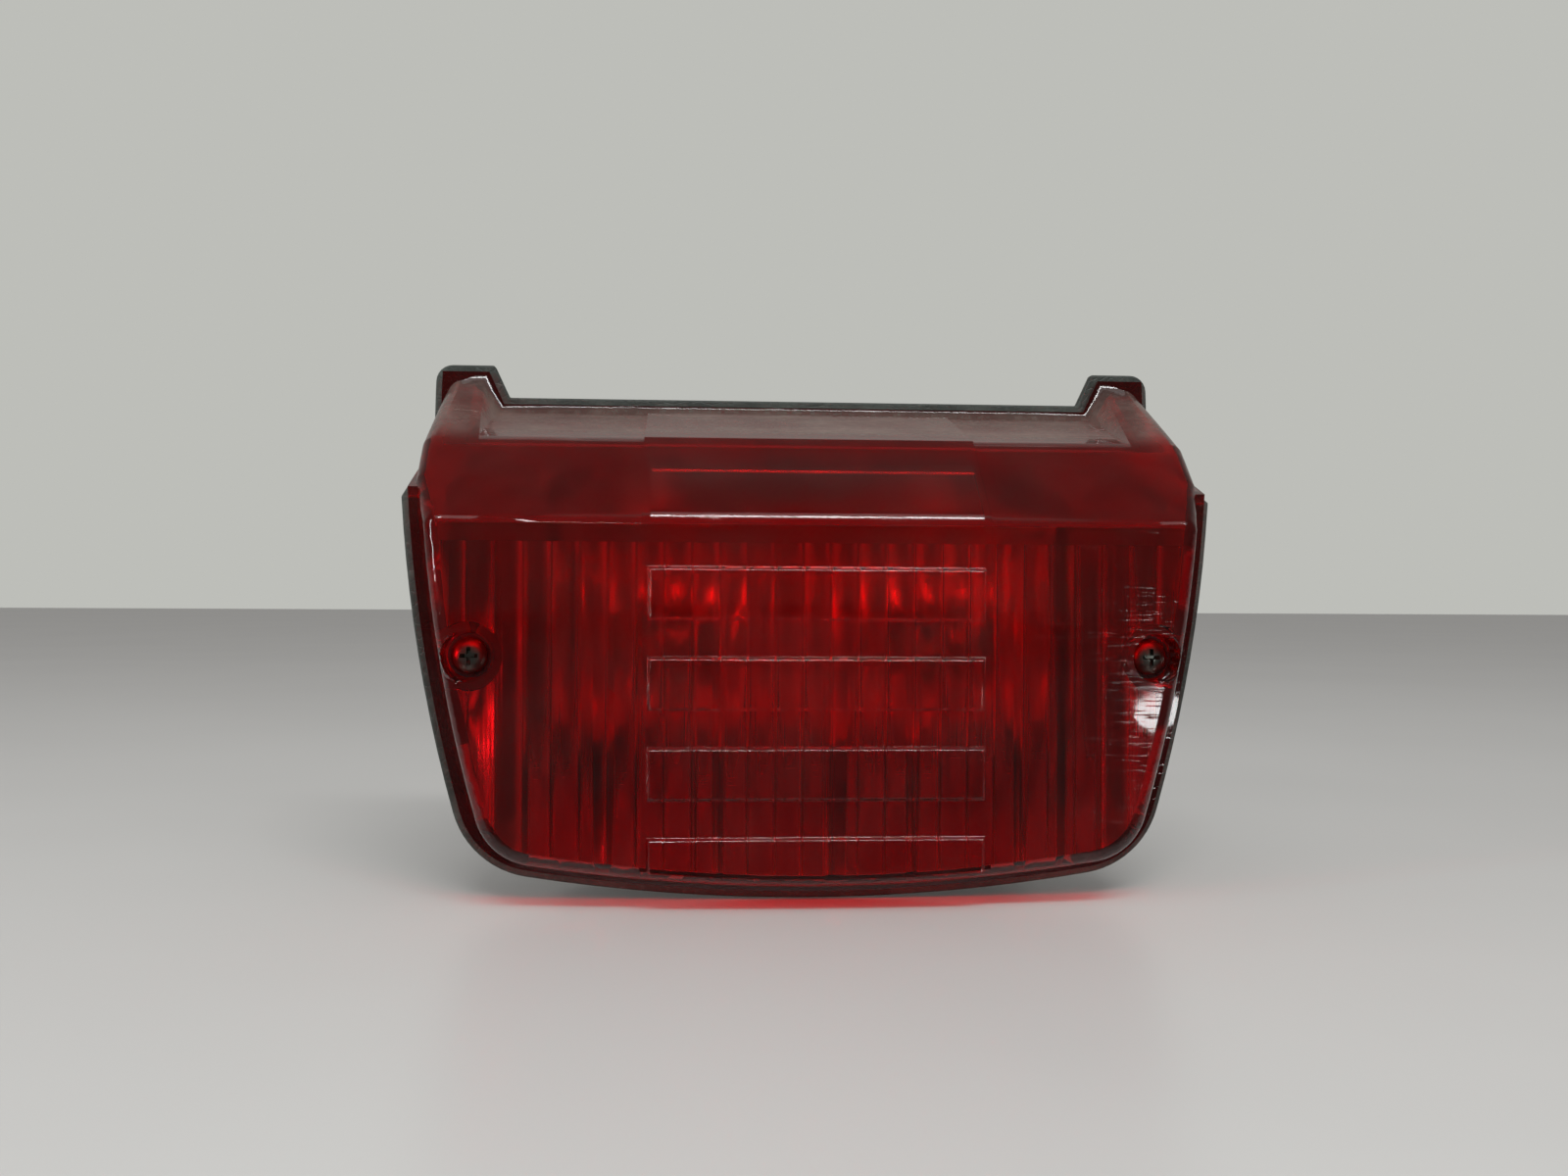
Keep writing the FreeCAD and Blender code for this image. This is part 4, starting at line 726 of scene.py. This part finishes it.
    @staticmethod
    def lathe(name: str, profile: Sequence[tuple[float, float]], centre: tuple[float, float],
              steps: int = 48) -> Piece:
        """Turn a profile about an axis along Y.

        Args:
            name: the object's name.
            profile: radius and Y of each point in turn.
            centre: X and Z of the axis.
            steps: segments round the turn.

        Returns:
            The new object.
        """
        x, z = centre
        piece = Bench.trace(name, [(x + radius, y, z) for radius, y in profile])
        Bench.edit(piece)
        bpy.ops.mesh.select_all(action="SELECT")
        bpy.ops.mesh.spin(steps=steps, angle=2 * math.pi, center=(x, 0.0, z), axis=(0, 1, 0))
        bpy.ops.mesh.select_all(action="SELECT")
        bpy.ops.mesh.remove_doubles(threshold=Bench.SEAM_WELD)
        bpy.ops.mesh.normals_make_consistent(inside=False)
        bpy.ops.object.mode_set(mode="OBJECT")
        return piece

    @staticmethod
    def cut(piece: Piece, tool: Piece, how: str = "DIFFERENCE") -> None:
        """Apply a boolean with a tool and throw the tool away."""
        Bench.modify(piece, "BOOLEAN", object=tool, operation=how, solver="EXACT")
        bpy.data.objects.remove(tool, do_unlink=True)

    @staticmethod
    def copy(piece: Piece, name: str, shift: Sequence[float]) -> Piece:
        """Copy an object with a mesh of its own.

        Args:
            piece: the object to copy.
            name: the copy's name.
            shift: how far the copy is moved along X, Y and Z.

        Returns:
            The copy.
        """
        twin = bpy.data.objects.new(name, piece.data.copy())
        bpy.context.scene.collection.objects.link(twin)
        twin.location = shift
        return Bench.settle(twin)

    @staticmethod
    def join(pieces: Sequence[Piece], name: str) -> Piece:
        """Join several objects into the first.

        Args:
            pieces: the objects.
            name: the joined object's name.

        Returns:
            The joined object.
        """
        Bench.hold(pieces[0])
        for piece in pieces:
            piece.select_set(True)
        bpy.ops.object.join()
        pieces[0].name = name
        return pieces[0]

    @staticmethod
    def dress(piece: Piece, material: bpy.types.Material) -> None:
        """Give every slot of an object one material."""
        piece.data.materials.clear()
        piece.data.materials.append(material)


def commit(piece: Piece, body: str, slot: str, *nodes: str) -> None:
    """Hand a finished piece to the frame.

    Args:
        piece: the object, at the origin.
        body: the body it rides on.
        slot: the record's material slot for the piece; not used.
        *nodes: the CAD nodes it stands for, if any.
    """
    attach(piece, body)
    if nodes:
        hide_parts(*nodes)
    LOG.info("%s rides on %s, %d faces", piece.name, body, len(piece.data.polygons))


class Shop:
    """The loaded frame and one material of each finish."""

    def __init__(self, frame: dict) -> None:
        """Build the finishes.
        """
        self.nodes: dict[str, Piece] = frame["nodes"]
        zinc = ((0.50, 0.50, 0.48), (0.16, 0.15, 0.13))
        self.finishes: dict[str, bpy.types.Material] = {
            finish.name: finish.material() for finish in (
                Rubber("gasket_rubber", (0.028, 0.034, 0.029), (0.095, 0.108, 0.095)),
                Rubber("damper_rubber", (0.015, 0.015, 0.016), (0.06, 0.06, 0.06)),
                Rubber("seal_rubber", (0.012, 0.012, 0.012), (0.05, 0.045, 0.04), 0.55),
                MouldedPlastic("housing_plastic", (0.018, 0.018, 0.019), (0.07, 0.068, 0.065)),
                MouldedPlastic("phenolic", (0.12, 0.045, 0.018), (0.24, 0.12, 0.06), 0.42),
                PlatedMetal("lens_screw_zinc", (0.20, 0.22, 0.19), (0.05, 0.055, 0.045), 0.34,
                            0.8),
                PlatedMetal("zinc_hardware", *zinc, roughness=0.32),
                PlatedMetal("inner_screws", (0.62, 0.62, 0.60), (0.25, 0.23, 0.2), 0.25),
                PlatedMetal("plated_steel", (0.55, 0.54, 0.50), (0.22, 0.17, 0.12), 0.30),
                PlatedMetal("stud_zinc", (0.56, 0.50, 0.30), (0.22, 0.18, 0.10), 0.33),
                PlatedMetal("reflector_chrome", (0.80, 0.80, 0.80), (0.35, 0.33, 0.31), 0.14,
                            0.22),
                PlatedMetal("contact_brass", (0.72, 0.52, 0.22), (0.30, 0.18, 0.08), 0.30),
                PlatedMetal("cap_brass", (0.66, 0.56, 0.36), (0.28, 0.20, 0.12), 0.30),
                PlatedMetal("brass_insert", (0.60, 0.43, 0.18), (0.26, 0.16, 0.07), 0.36),
                PlatedMetal("spring_steel", (0.48, 0.48, 0.48), (0.20, 0.17, 0.14), 0.28),
                PlatedMetal("solder", (0.55, 0.55, 0.56), (0.25, 0.25, 0.25), 0.45),
                PlatedMetal("tungsten", (0.30, 0.30, 0.31), (0.12, 0.12, 0.13), 0.35),
                ClearGlass("bulb_glass"),
                ClearGlass("stem_glass", (0.86, 0.90, 0.88)),
                ClearGlass("clear_window", (0.90, 0.92, 0.90), 1.49, 0.16),
            )}
        self.finishes["red_acrylic"] = RedAcrylic().material()
        self.finishes["red_acrylic_inner"] = RedAcrylic().inner()
        self.finishes["bracket_paint"] = BracketPaint().material()

    def finish_node(self, node: str, finish: str) -> None:
        """Give a CAD node that stays in view one of the finishes.

        Args:
            node: the CAD node.
            finish: the finish's name.
        """
        piece = self.nodes[node]
        for slot in piece.material_slots:
            slot.material = self.finishes[finish]
        LOG.info("%s keeps its CAD shape, finished as %s", node, finish)

    def refine(self, node: str, slot: str, finish: str = "", body: str = LAMP_BODY,
               edge: float = 0.0, sharp: float = 35.0, smooth: float = 35.0) -> Piece:
        """Show a node by a welded copy with softened edges.

        Args:
            node: the CAD node.
            slot: its material slot in the record.
            finish: the finish to give it, where its name isn't the slot's.
            body: the body it rides on.
            edge: width of the edge bevel, or 0 for none.
            sharp: angle over which an edge is bevelled, in degrees.
            smooth: angle under which faces shade as one, in degrees.

        Returns:
            The new object.
        """
        piece = Bench.merged_copy(self.nodes[node], node + "_finished")
        if edge:
            Bench.soften(piece, edge, sharp)
        self.deliver(piece, body, slot, finish or slot, smooth, node)
        return piece

    def deliver(self, piece: Piece, body: str, slot: str, finish: str,
                smooth: float, *nodes: str) -> None:
        """Shade and dress a modelled piece and hand it to the frame.

        Args:
            piece: the object, at the origin.
            body: the body it rides on.
            slot: its material slot in the record.
            finish: the finish to give it.
            smooth: angle under which faces shade as one, in degrees.
            *nodes: the CAD nodes it stands for, if any.
        """
        Bench.smooth(piece, smooth)
        Bench.dress(piece, self.finishes[finish])
        commit(piece, body, slot, *nodes)


# ---- sub-assemblies
@dataclass
class Lens:
    """The red lens shell, with its wells and flutes."""

    shop: Shop
    front_skin: float = 2.2 * MM
    inward: float = 0.25
    smooth: float = 32.0

    def line(self, shell: Piece) -> None:
        """Give the faces that look back into the lamp the matt inner finish.

        Args:
            shell: the lens's finished copy.
        """
        shell.data.materials.append(self.shop.finishes["red_acrylic_inner"])
        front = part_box("lens")[0][1] + self.front_skin
        Bench.edit(shell, "FACE")
        count = Bench.pick_faces(shell, lambda face: face.normal.y > self.inward
                                 and face.calc_center_median().y > front)
        shell.active_material_index = 1
        bpy.ops.object.material_slot_assign()
        bpy.ops.object.mode_set(mode="OBJECT")
        LOG.info("lens: %d inner faces", count)

    def build(self) -> None:
        """Show the lens by a welded copy, so that its curved walls shade smoothly."""
        self.line(self.shop.refine("lens", "red_lens", "red_acrylic", smooth=self.smooth))


@dataclass
class Gasket:
    """Rubber seal between lens and housing."""

    shop: Shop
    edge: float = 0.5 * MM
    ear_round: float = 4.0 * MM
    ear_steps: int = 6
    ear_inset: float = 0.85
    near: float = 0.4 * MM
    sharp: float = 40.0

    def round_ears(self, piece: Piece) -> None:
        """Round the two outer corners of the ears.

        Args:
            piece: the seal's welded copy.
        """
        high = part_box("gasket")[1]
        Bench.edit(piece, "EDGE")
        shape = bmesh.from_edit_mesh(piece.data)
        count = 0
        for edge in shape.edges:
            ends = [vert.co for vert in edge.verts]
            along = abs((ends[1] - ends[0]).normalized().y) > 0.9
            corner = all(end.z > high[2] - self.near and abs(end.x) > self.ear_inset * high[0]
                         for end in ends)
            edge.select_set(along and corner)
            count += along and corner
        bmesh.update_edit_mesh(piece.data)
        bpy.ops.mesh.bevel(offset=self.ear_round, segments=self.ear_steps, clamp_overlap=True)
        bpy.ops.object.mode_set(mode="OBJECT")
        LOG.info("gasket: %d ear corners rounded", count)

    def build(self) -> None:
        """Round the seal's corners and soften its edges."""
        piece = Bench.merged_copy(self.shop.nodes["gasket"], "gasket_finished")
        self.round_ears(piece)
        Bench.soften(piece, self.edge, self.sharp)
        self.shop.deliver(piece, LAMP_BODY, "gasket_rubber", "gasket_rubber", 35.0, "gasket")


@dataclass
class Housing:
    """Bowl, window, reflector and grommet."""

    shop: Shop
    edge: float = 0.6 * MM
    sharp: float = 45.0
    small_edge: float = 0.3 * MM
    sheet_edge: float = 0.15 * MM
    sheet: float = 0.8 * MM
    hole_gap: float = 0.9 * MM
    collar_reach: float = 1.6 * MM
    collar_crown: float = 0.35 * MM
    collar_widths: tuple[float, float, float] = (0.9 * MM, 1.1 * MM, 1.9 * MM)
    collar_foot: float = 0.6 * MM
    collar_steps: int = 40
    rib_count: int = 3
    rib_rise: float = 3.4 * MM
    rib_pitch: float = 5.0 * MM
    rib_height: float = 1.6 * MM
    rib_reach: float = 1.8 * MM
    rib_round: float = 0.35 * MM
    rib_gap: float = 0.2 * MM
    rib_sink: float = 0.1 * MM

    def collar(self, side: Side, face: float, clear: float, hole: Vector) -> Piece:
        """The rolled collar round one bulb hole.

        Args:
            side: which hole.
            face: Y of the reflector's front.
            clear: the hole's radius.
            hole: the right hole's middle.

        Returns:
            The new object.
        """
        crown, edge, foot = self.collar_widths
        tip = face - self.collar_reach
        profile = [(clear, face), (clear, tip), (clear + self.collar_crown, tip - self.collar_crown),
                   (clear + crown, tip), (clear + edge, face - self.collar_foot),
                   (clear + foot, face), (clear, face)]
        return Bench.lathe(f"hole_collar_{side.word}", profile, (hole.x * side.value, hole.z),
                           self.collar_steps)

    def ribs(self) -> None:
        """Moulded steps across the reflector and a rolled collar round each bulb hole."""
        high = Vector(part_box("reflector")[1])
        face = high.y - self.sheet
        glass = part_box("bulb_glass_right")
        hole = Vector((glass[0][0] + glass[1][0], 0.0, glass[0][2] + glass[1][2])) / 2
        clear = (glass[1][0] - glass[0][0]) / 2 + self.hole_gap
        pieces = []
        for side in Side:
            pieces.append(self.collar(side, face, clear, hole))
            ends = sorted((side.value * (self.sheet / 2 + self.rib_gap),
                           side.value * (high.x - self.sheet - self.rib_gap)))
            for step in range(self.rib_count):
                z = hole.z + clear + self.rib_rise + step * self.rib_pitch
                pieces.append(Bench.block(
                    f"rib_{side.word}_{step}", (ends[0], face - self.rib_reach, z),
                    (ends[1], face + self.rib_sink, z + self.rib_height), self.rib_round))
        ribs = Bench.join(pieces, "reflector_steps")
        self.shop.deliver(ribs, LAMP_BODY, "reflector_chrome", "reflector_chrome", 35.0)

    def build(self) -> None:
        """Finish the shell and everything fixed in it."""
        self.shop.refine("housing", "housing_plastic", edge=self.edge, sharp=self.sharp)
        self.shop.refine("plate_window", "clear_window", edge=self.small_edge)
        self.shop.refine("reflector", "reflector_chrome", edge=self.sheet_edge)
        self.ribs()
        self.shop.refine("wire_grommet", "damper_rubber", edge=self.small_edge)
        for node, finish in (("threaded_inserts", "brass_insert"),
                             ("reflector_screws", "inner_screws"),
                             ("strap_screws", "inner_screws"), ("socket_strap", "plated_steel")):
            self.shop.finish_node(node, finish)


@dataclass
class LensScrews:
    """The two screws that hold the lens, with their seal washers."""

    shop: Shop
    steps: int = 40
    smooth: float = 32.0
    head_height: float = 2.7 * MM
    dome_share: float = 0.72
    dome_power: float = 1.15
    dome_step: int = 15
    rim: float = 0.25 * MM
    seat_chamfer: float = 0.2 * MM
    shank_radius: float = 1.95 * MM
    thread_depth: float = 0.28 * MM
    thread_pitch: float = 0.9 * MM
    plain_turns: float = 3.0
    tip_turns: float = 2.2
    tip_length: float = 1.2 * MM
    recess_span: float = 4.6 * MM
    recess_width: float = 0.95 * MM
    recess_depth: float = 1.8 * MM
    recess_over: float = 0.5 * MM
    span_taper: float = 0.45
    width_taper: float = 0.7

    def profile(self, front: float, tip: float, head: float) -> list[tuple[float, float]]:
        """Trace the screw: domed head, shank and thread.

        Args:
            front: Y of the head's crown.
            tip: Y of the far end.
            head: the head's radius.

        Returns:
            Radius and Y of each point, from the crown to the tip.
        """
        seat = front + self.head_height
        rise = self.head_height * self.dome_share
        dome = [(head * math.sin(turn), front + rise * (1 - math.cos(turn)) ** self.dome_power)
                for turn in (math.radians(angle) for angle in range(0, 91, self.dome_step))]
        points = dome + [(head, seat - self.rim), (head - self.seat_chamfer, seat),
                         (self.shank_radius, seat)]
        y = seat + self.plain_turns * self.thread_pitch
        root = self.shank_radius - self.thread_depth
        while y < tip - self.tip_turns * self.thread_pitch:
            points += [(self.shank_radius, y), (root, y + self.thread_pitch / 2)]
            y += self.thread_pitch
        return points + [(root, tip - self.tip_length), (root / 2, tip), (0.0, tip)]

    def cutter(self, front: float, x: float, z: float) -> Piece:
        """Model the cross recess: two blades that narrow towards the bottom.

        Args:
            front: Y of the head's crown.
            x: the screw's place across the lamp.
            z: its height.

        Returns:
            The tool that cuts the recess.
        """
        blades = []
        for name, wide, tall in (("flat", self.recess_span, self.recess_width),
                                 ("tall", self.recess_width, self.recess_span)):
            low = (x - wide / 2, front - self.recess_over, z - tall / 2)
            blade = Bench.block(f"blade_{name}", low,
                                (x + wide / 2, front + self.recess_depth, z + tall / 2))
            Bench.edit(blade, "FACE")
            Bench.pick_faces(blade, lambda face: face.normal.y > 0.9)
            tapers = (self.span_taper, 1.0, self.width_taper)
            bpy.ops.transform.resize(value=tapers if wide > tall else tapers[::-1])
            bpy.ops.object.mode_set(mode="OBJECT")
            blades.append(blade)
        Bench.cut(blades[0], blades[1], "UNION")
        return blades[0]

    def build(self) -> None:
        """Model both screws and finish the washers."""
        low, high = (Vector(corner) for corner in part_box("lens_screws"))
        head = (high.z - low.z) / 2
        z = (high.z + low.z) / 2
        right = Bench.lathe("lens_screw_right", self.profile(low.y, high.y, head),
                            (high.x - head, z), self.steps)
        Bench.cut(right, self.cutter(low.y, high.x - head, z))
        left = Bench.copy(right, "lens_screw_left", (-2 * (high.x - head), 0.0, 0.0))
        pair = Bench.join([right, left], "lens_screws_finished")
        self.shop.deliver(pair, LAMP_BODY, "zinc_screws", "lens_screw_zinc", self.smooth,
                          "lens_screws")
        self.shop.finish_node("lens_screw_washers", "seal_rubber")


@dataclass
class Socket:
    """One bayonet socket and its bulb."""

    shop: Shop
    side: Side

    def build(self) -> None:
        """Finish the fixed, sliding and twisting pieces of one socket."""
        word = self.side.word
        plain = {"socket_shell": "plated_steel", "socket_insulator": "phenolic",
                 "socket_terminals": "contact_brass", "contact_spring": "spring_steel",
                 "contact_carrier": "phenolic", "contact_pips": "contact_brass",
                 "bulb_contacts": "solder", "bulb_filaments": "tungsten"}
        for node, finish in plain.items():
            self.shop.finish_node(f"{node}_{word}", finish)
        body = f"bulb_{word}"
        self.shop.refine(f"bulb_cap_{word}", "cap_brass", body=body, edge=0.15 * MM)
        self.shop.refine(f"bulb_glass_{word}", "bulb_glass", body=body)
        self.shop.refine(f"bulb_stem_{word}", "stem_glass", body=body)


@dataclass
class Mounting:
    """Bracket, dampers and the hardware on the three studs."""

    shop: Shop
    steps: int = 36
    smooth: float = 32.0
    stud_radius: float = 2.95 * MM
    stud_head_radius: float = 6.0 * MM
    stud_head: float = 2.6 * MM
    head_chamfer: float = 0.4 * MM
    end_chamfer: float = 0.8 * MM
    end_length: float = 0.5 * MM
    thread_depth: float = 0.35 * MM
    thread_pitch: float = 0.8 * MM
    turns_before_nut: float = 3.0
    end_turns: float = 1.2

    def profile(self, low: float, high: float, nut: float) -> list[tuple[float, float]]:
        """Trace a stud: head, shank and thread.

        Args:
            low: Y of the head's front.
            high: Y of the threaded end.
            nut: Y of the nut's front.

        Returns:
            Radius and Y of each point, from the head to the end.
        """
        head, shank = self.stud_head_radius, self.stud_radius
        root = shank - self.thread_depth
        y = nut - self.turns_before_nut * self.thread_pitch
        points = [(0.0, low), (head - self.head_chamfer, low), (head, low + self.head_chamfer),
                  (head, low + self.stud_head), (shank, low + self.stud_head),
                  (shank, y - self.thread_pitch)]
        while y < high - self.end_turns * self.thread_pitch:
            points += [(root, y), (shank, y + self.thread_pitch / 2)]
            y += self.thread_pitch
        return points + [(root, high - self.end_length), (shank - self.end_chamfer, high),
                         (0.0, high)]

    def studs(self) -> None:
        """Model the three studs with rolled threads on their rear ends."""
        low, high = (Vector(corner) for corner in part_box("mounting_studs"))
        profile = self.profile(low.y, high.y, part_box("mounting_nuts")[0][1])
        head = self.stud_head_radius
        places = [(high.x - head, high.z - head), (low.x + head, high.z - head),
                  (0.0, low.z + head)]
        pieces = [Bench.lathe("stud_0", profile, places[0], self.steps)]
        for index, (x, z) in enumerate(places[1:], start=1):
            shift = (x - places[0][0], 0.0, z - places[0][1])
            pieces.append(Bench.copy(pieces[0], f"stud_{index}", shift))
        studs = Bench.join(pieces, "mounting_studs_finished")
        self.shop.deliver(studs, LAMP_BODY, "stud_zinc", "stud_zinc", self.smooth, "mounting_studs")

    def build(self) -> None:
        """Finish the bracket and its hardware."""
        self.studs()
        self.shop.refine("mounting_bracket", "bracket_paint", edge=0.5 * MM)
        self.shop.refine("rubber_dampers", "damper_rubber", edge=0.3 * MM)
        self.shop.finish_node("damper_collars", "plated_steel")
        for node in ("plain_washers", "lock_washers", "mounting_nuts"):
            self.shop.refine(node, "zinc_hardware", edge=0.15 * MM)


# ---- studio
@dataclass(frozen=True)
class SoftLamp:
    """One flat lamp: its middle, its width and height, its brightness and its outline."""

    name: str
    place: tuple[float, float, float]
    size: tuple[float, float]
    brightness: float
    target: tuple[float, float, float] = (0.0, -0.06, 0.0)
    shape: LampShape = LampShape.RECTANGLE

    def hang(self) -> None:
        """Add the lamp, facing its target and hidden from the camera."""
        data = bpy.data.lights.new(self.name, "AREA")
        data.shape = self.shape.value
        data.size, data.size_y = self.size
        data.energy = self.brightness * math.pi * self.size[0] * self.size[1]
        lamp = bpy.data.objects.new(self.name, data)
        bpy.context.scene.collection.objects.link(lamp)
        lamp.location = self.place
        aim = Vector(self.target) - Vector(self.place)
        lamp.rotation_euler = aim.to_track_quat("-Z", "Y").to_euler()
        lamp.visible_camera = False
        LOG.info("lamp %s, %.1f W", self.name, data.energy)


@dataclass
class Studio:
    """Table, world, soft lamps and the camera."""

    floor_height: float
    backdrop: Colour = (0.510, 0.515, 0.485)
    daylight: Colour = (0.40, 0.41, 0.42)
    mirrored: Colour = (1.0, 0.95, 0.89)
    dim_room: float = 0.07
    pale_room: float = 0.36
    room_turn: tuple[float, float] = (0.10, 0.85)
    table_size: float = 8.0
    camera_place: Vector = field(default_factory=lambda: Vector((-0.0294, -0.4037, 0.010)))
    camera_turn: tuple[float, float, float] = (90.0, -0.33, -4.0)
    lens_length: float = 33.75

    def table(self) -> None:
        """A wide plain table just under the lamp."""
        Bench.clear()
        bpy.ops.mesh.primitive_plane_add(size=self.table_size, location=(0.0, 0.0, self.floor_height))
        table = bpy.context.object
        table.name = "table"
        Bench.dress(table, TableTop().material())
        table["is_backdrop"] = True

    def world(self) -> None:
        """Even light, a pale tone behind the lamp, and a dimmer room to mirror in front."""
        world = bpy.data.worlds.new("studio")
        bpy.context.scene.world = world
        world.use_nodes = True
        tree = world.node_tree
        tree.nodes.clear()
        new, link = tree.nodes.new, tree.links.new
        path = new("ShaderNodeLightPath")
        towards = new("ShaderNodeSeparateXYZ")
        link(new("ShaderNodeTexCoord").outputs["Generated"], towards.inputs[0])
        behind = new("ShaderNodeMapRange")
        behind.interpolation_type = "SMOOTHSTEP"
        for socket, number in zip(list(behind.inputs)[1:5],
                                  (*self.room_turn, self.dim_room, self.pale_room)):
            socket.default_value = number
        link(towards.outputs["Y"], behind.inputs["Value"])
        shades = {}
        for name, colour in (("seen", self.backdrop), ("light", self.daylight),
                             ("mirrored", self.mirrored)):
            shades[name] = new("ShaderNodeBackground")
            shades[name].inputs["Color"].default_value = (*colour, 1.0)
        link(behind.outputs[0], shades["mirrored"].inputs["Strength"])
        glossy = new("ShaderNodeMixShader")
        link(path.outputs["Is Glossy Ray"], glossy.inputs[0])
        link(shades["light"].outputs[0], glossy.inputs[1])
        link(shades["mirrored"].outputs[0], glossy.inputs[2])
        mix = new("ShaderNodeMixShader")
        link(path.outputs["Is Camera Ray"], mix.inputs[0])
        link(glossy.outputs[0], mix.inputs[1])
        link(shades["seen"].outputs[0], mix.inputs[2])
        link(mix.outputs[0], new("ShaderNodeOutputWorld").inputs["Surface"])

    def camera(self) -> None:
        """The camera a short arm's length in front of the lens."""
        data = bpy.data.cameras.new("camera")
        data.sensor_width = 36.0
        data.lens = self.lens_length
        data.clip_start = 0.01
        camera = bpy.data.objects.new("camera", data)
        bpy.context.scene.collection.objects.link(camera)
        camera.location = self.camera_place
        camera.rotation_euler = [math.radians(angle) for angle in self.camera_turn]
        bpy.context.scene.camera = camera

    def build(self) -> None:
        """Set the whole studio up."""
        self.table()
        self.world()
        self.camera()
        for lamp in (
                SoftLamp("strip", (0.10, -0.93, 0.99), (0.86, 0.20), 18.0),
                SoftLamp("ceiling", (0.05, -0.95, 1.20), (1.8, 0.8), 1.2),
                SoftLamp("left_window", (-0.95, -0.55, 0.15), (0.12, 0.7), 15.0),
                SoftLamp("low_right", (0.200, -0.452, -0.048), (0.030, 0.020), 14.0,
                         (0.07, -0.088, -0.020), LampShape.ELLIPSE)):
            lamp.hang()
        bpy.context.scene.view_settings.view_transform = "Standard"


def main() -> None:
    """Load the frame, finish every piece and set up the studio."""
    logging.basicConfig(level=logging.INFO, format="%(name)s: %(message)s")
    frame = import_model()
    cad_box = [list(corner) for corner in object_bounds()]
    shop = Shop(frame)
    assemblies = [Lens(shop), Gasket(shop), Housing(shop), LensScrews(shop), Mounting(shop)]
    assemblies += [Socket(shop, side) for side in Side]
    for assembly in assemblies:
        assembly.build()
    Studio(floor_height=cad_box[0][2] - FLOOR_GAP).build()


if __name__ == "__main__":
    main()
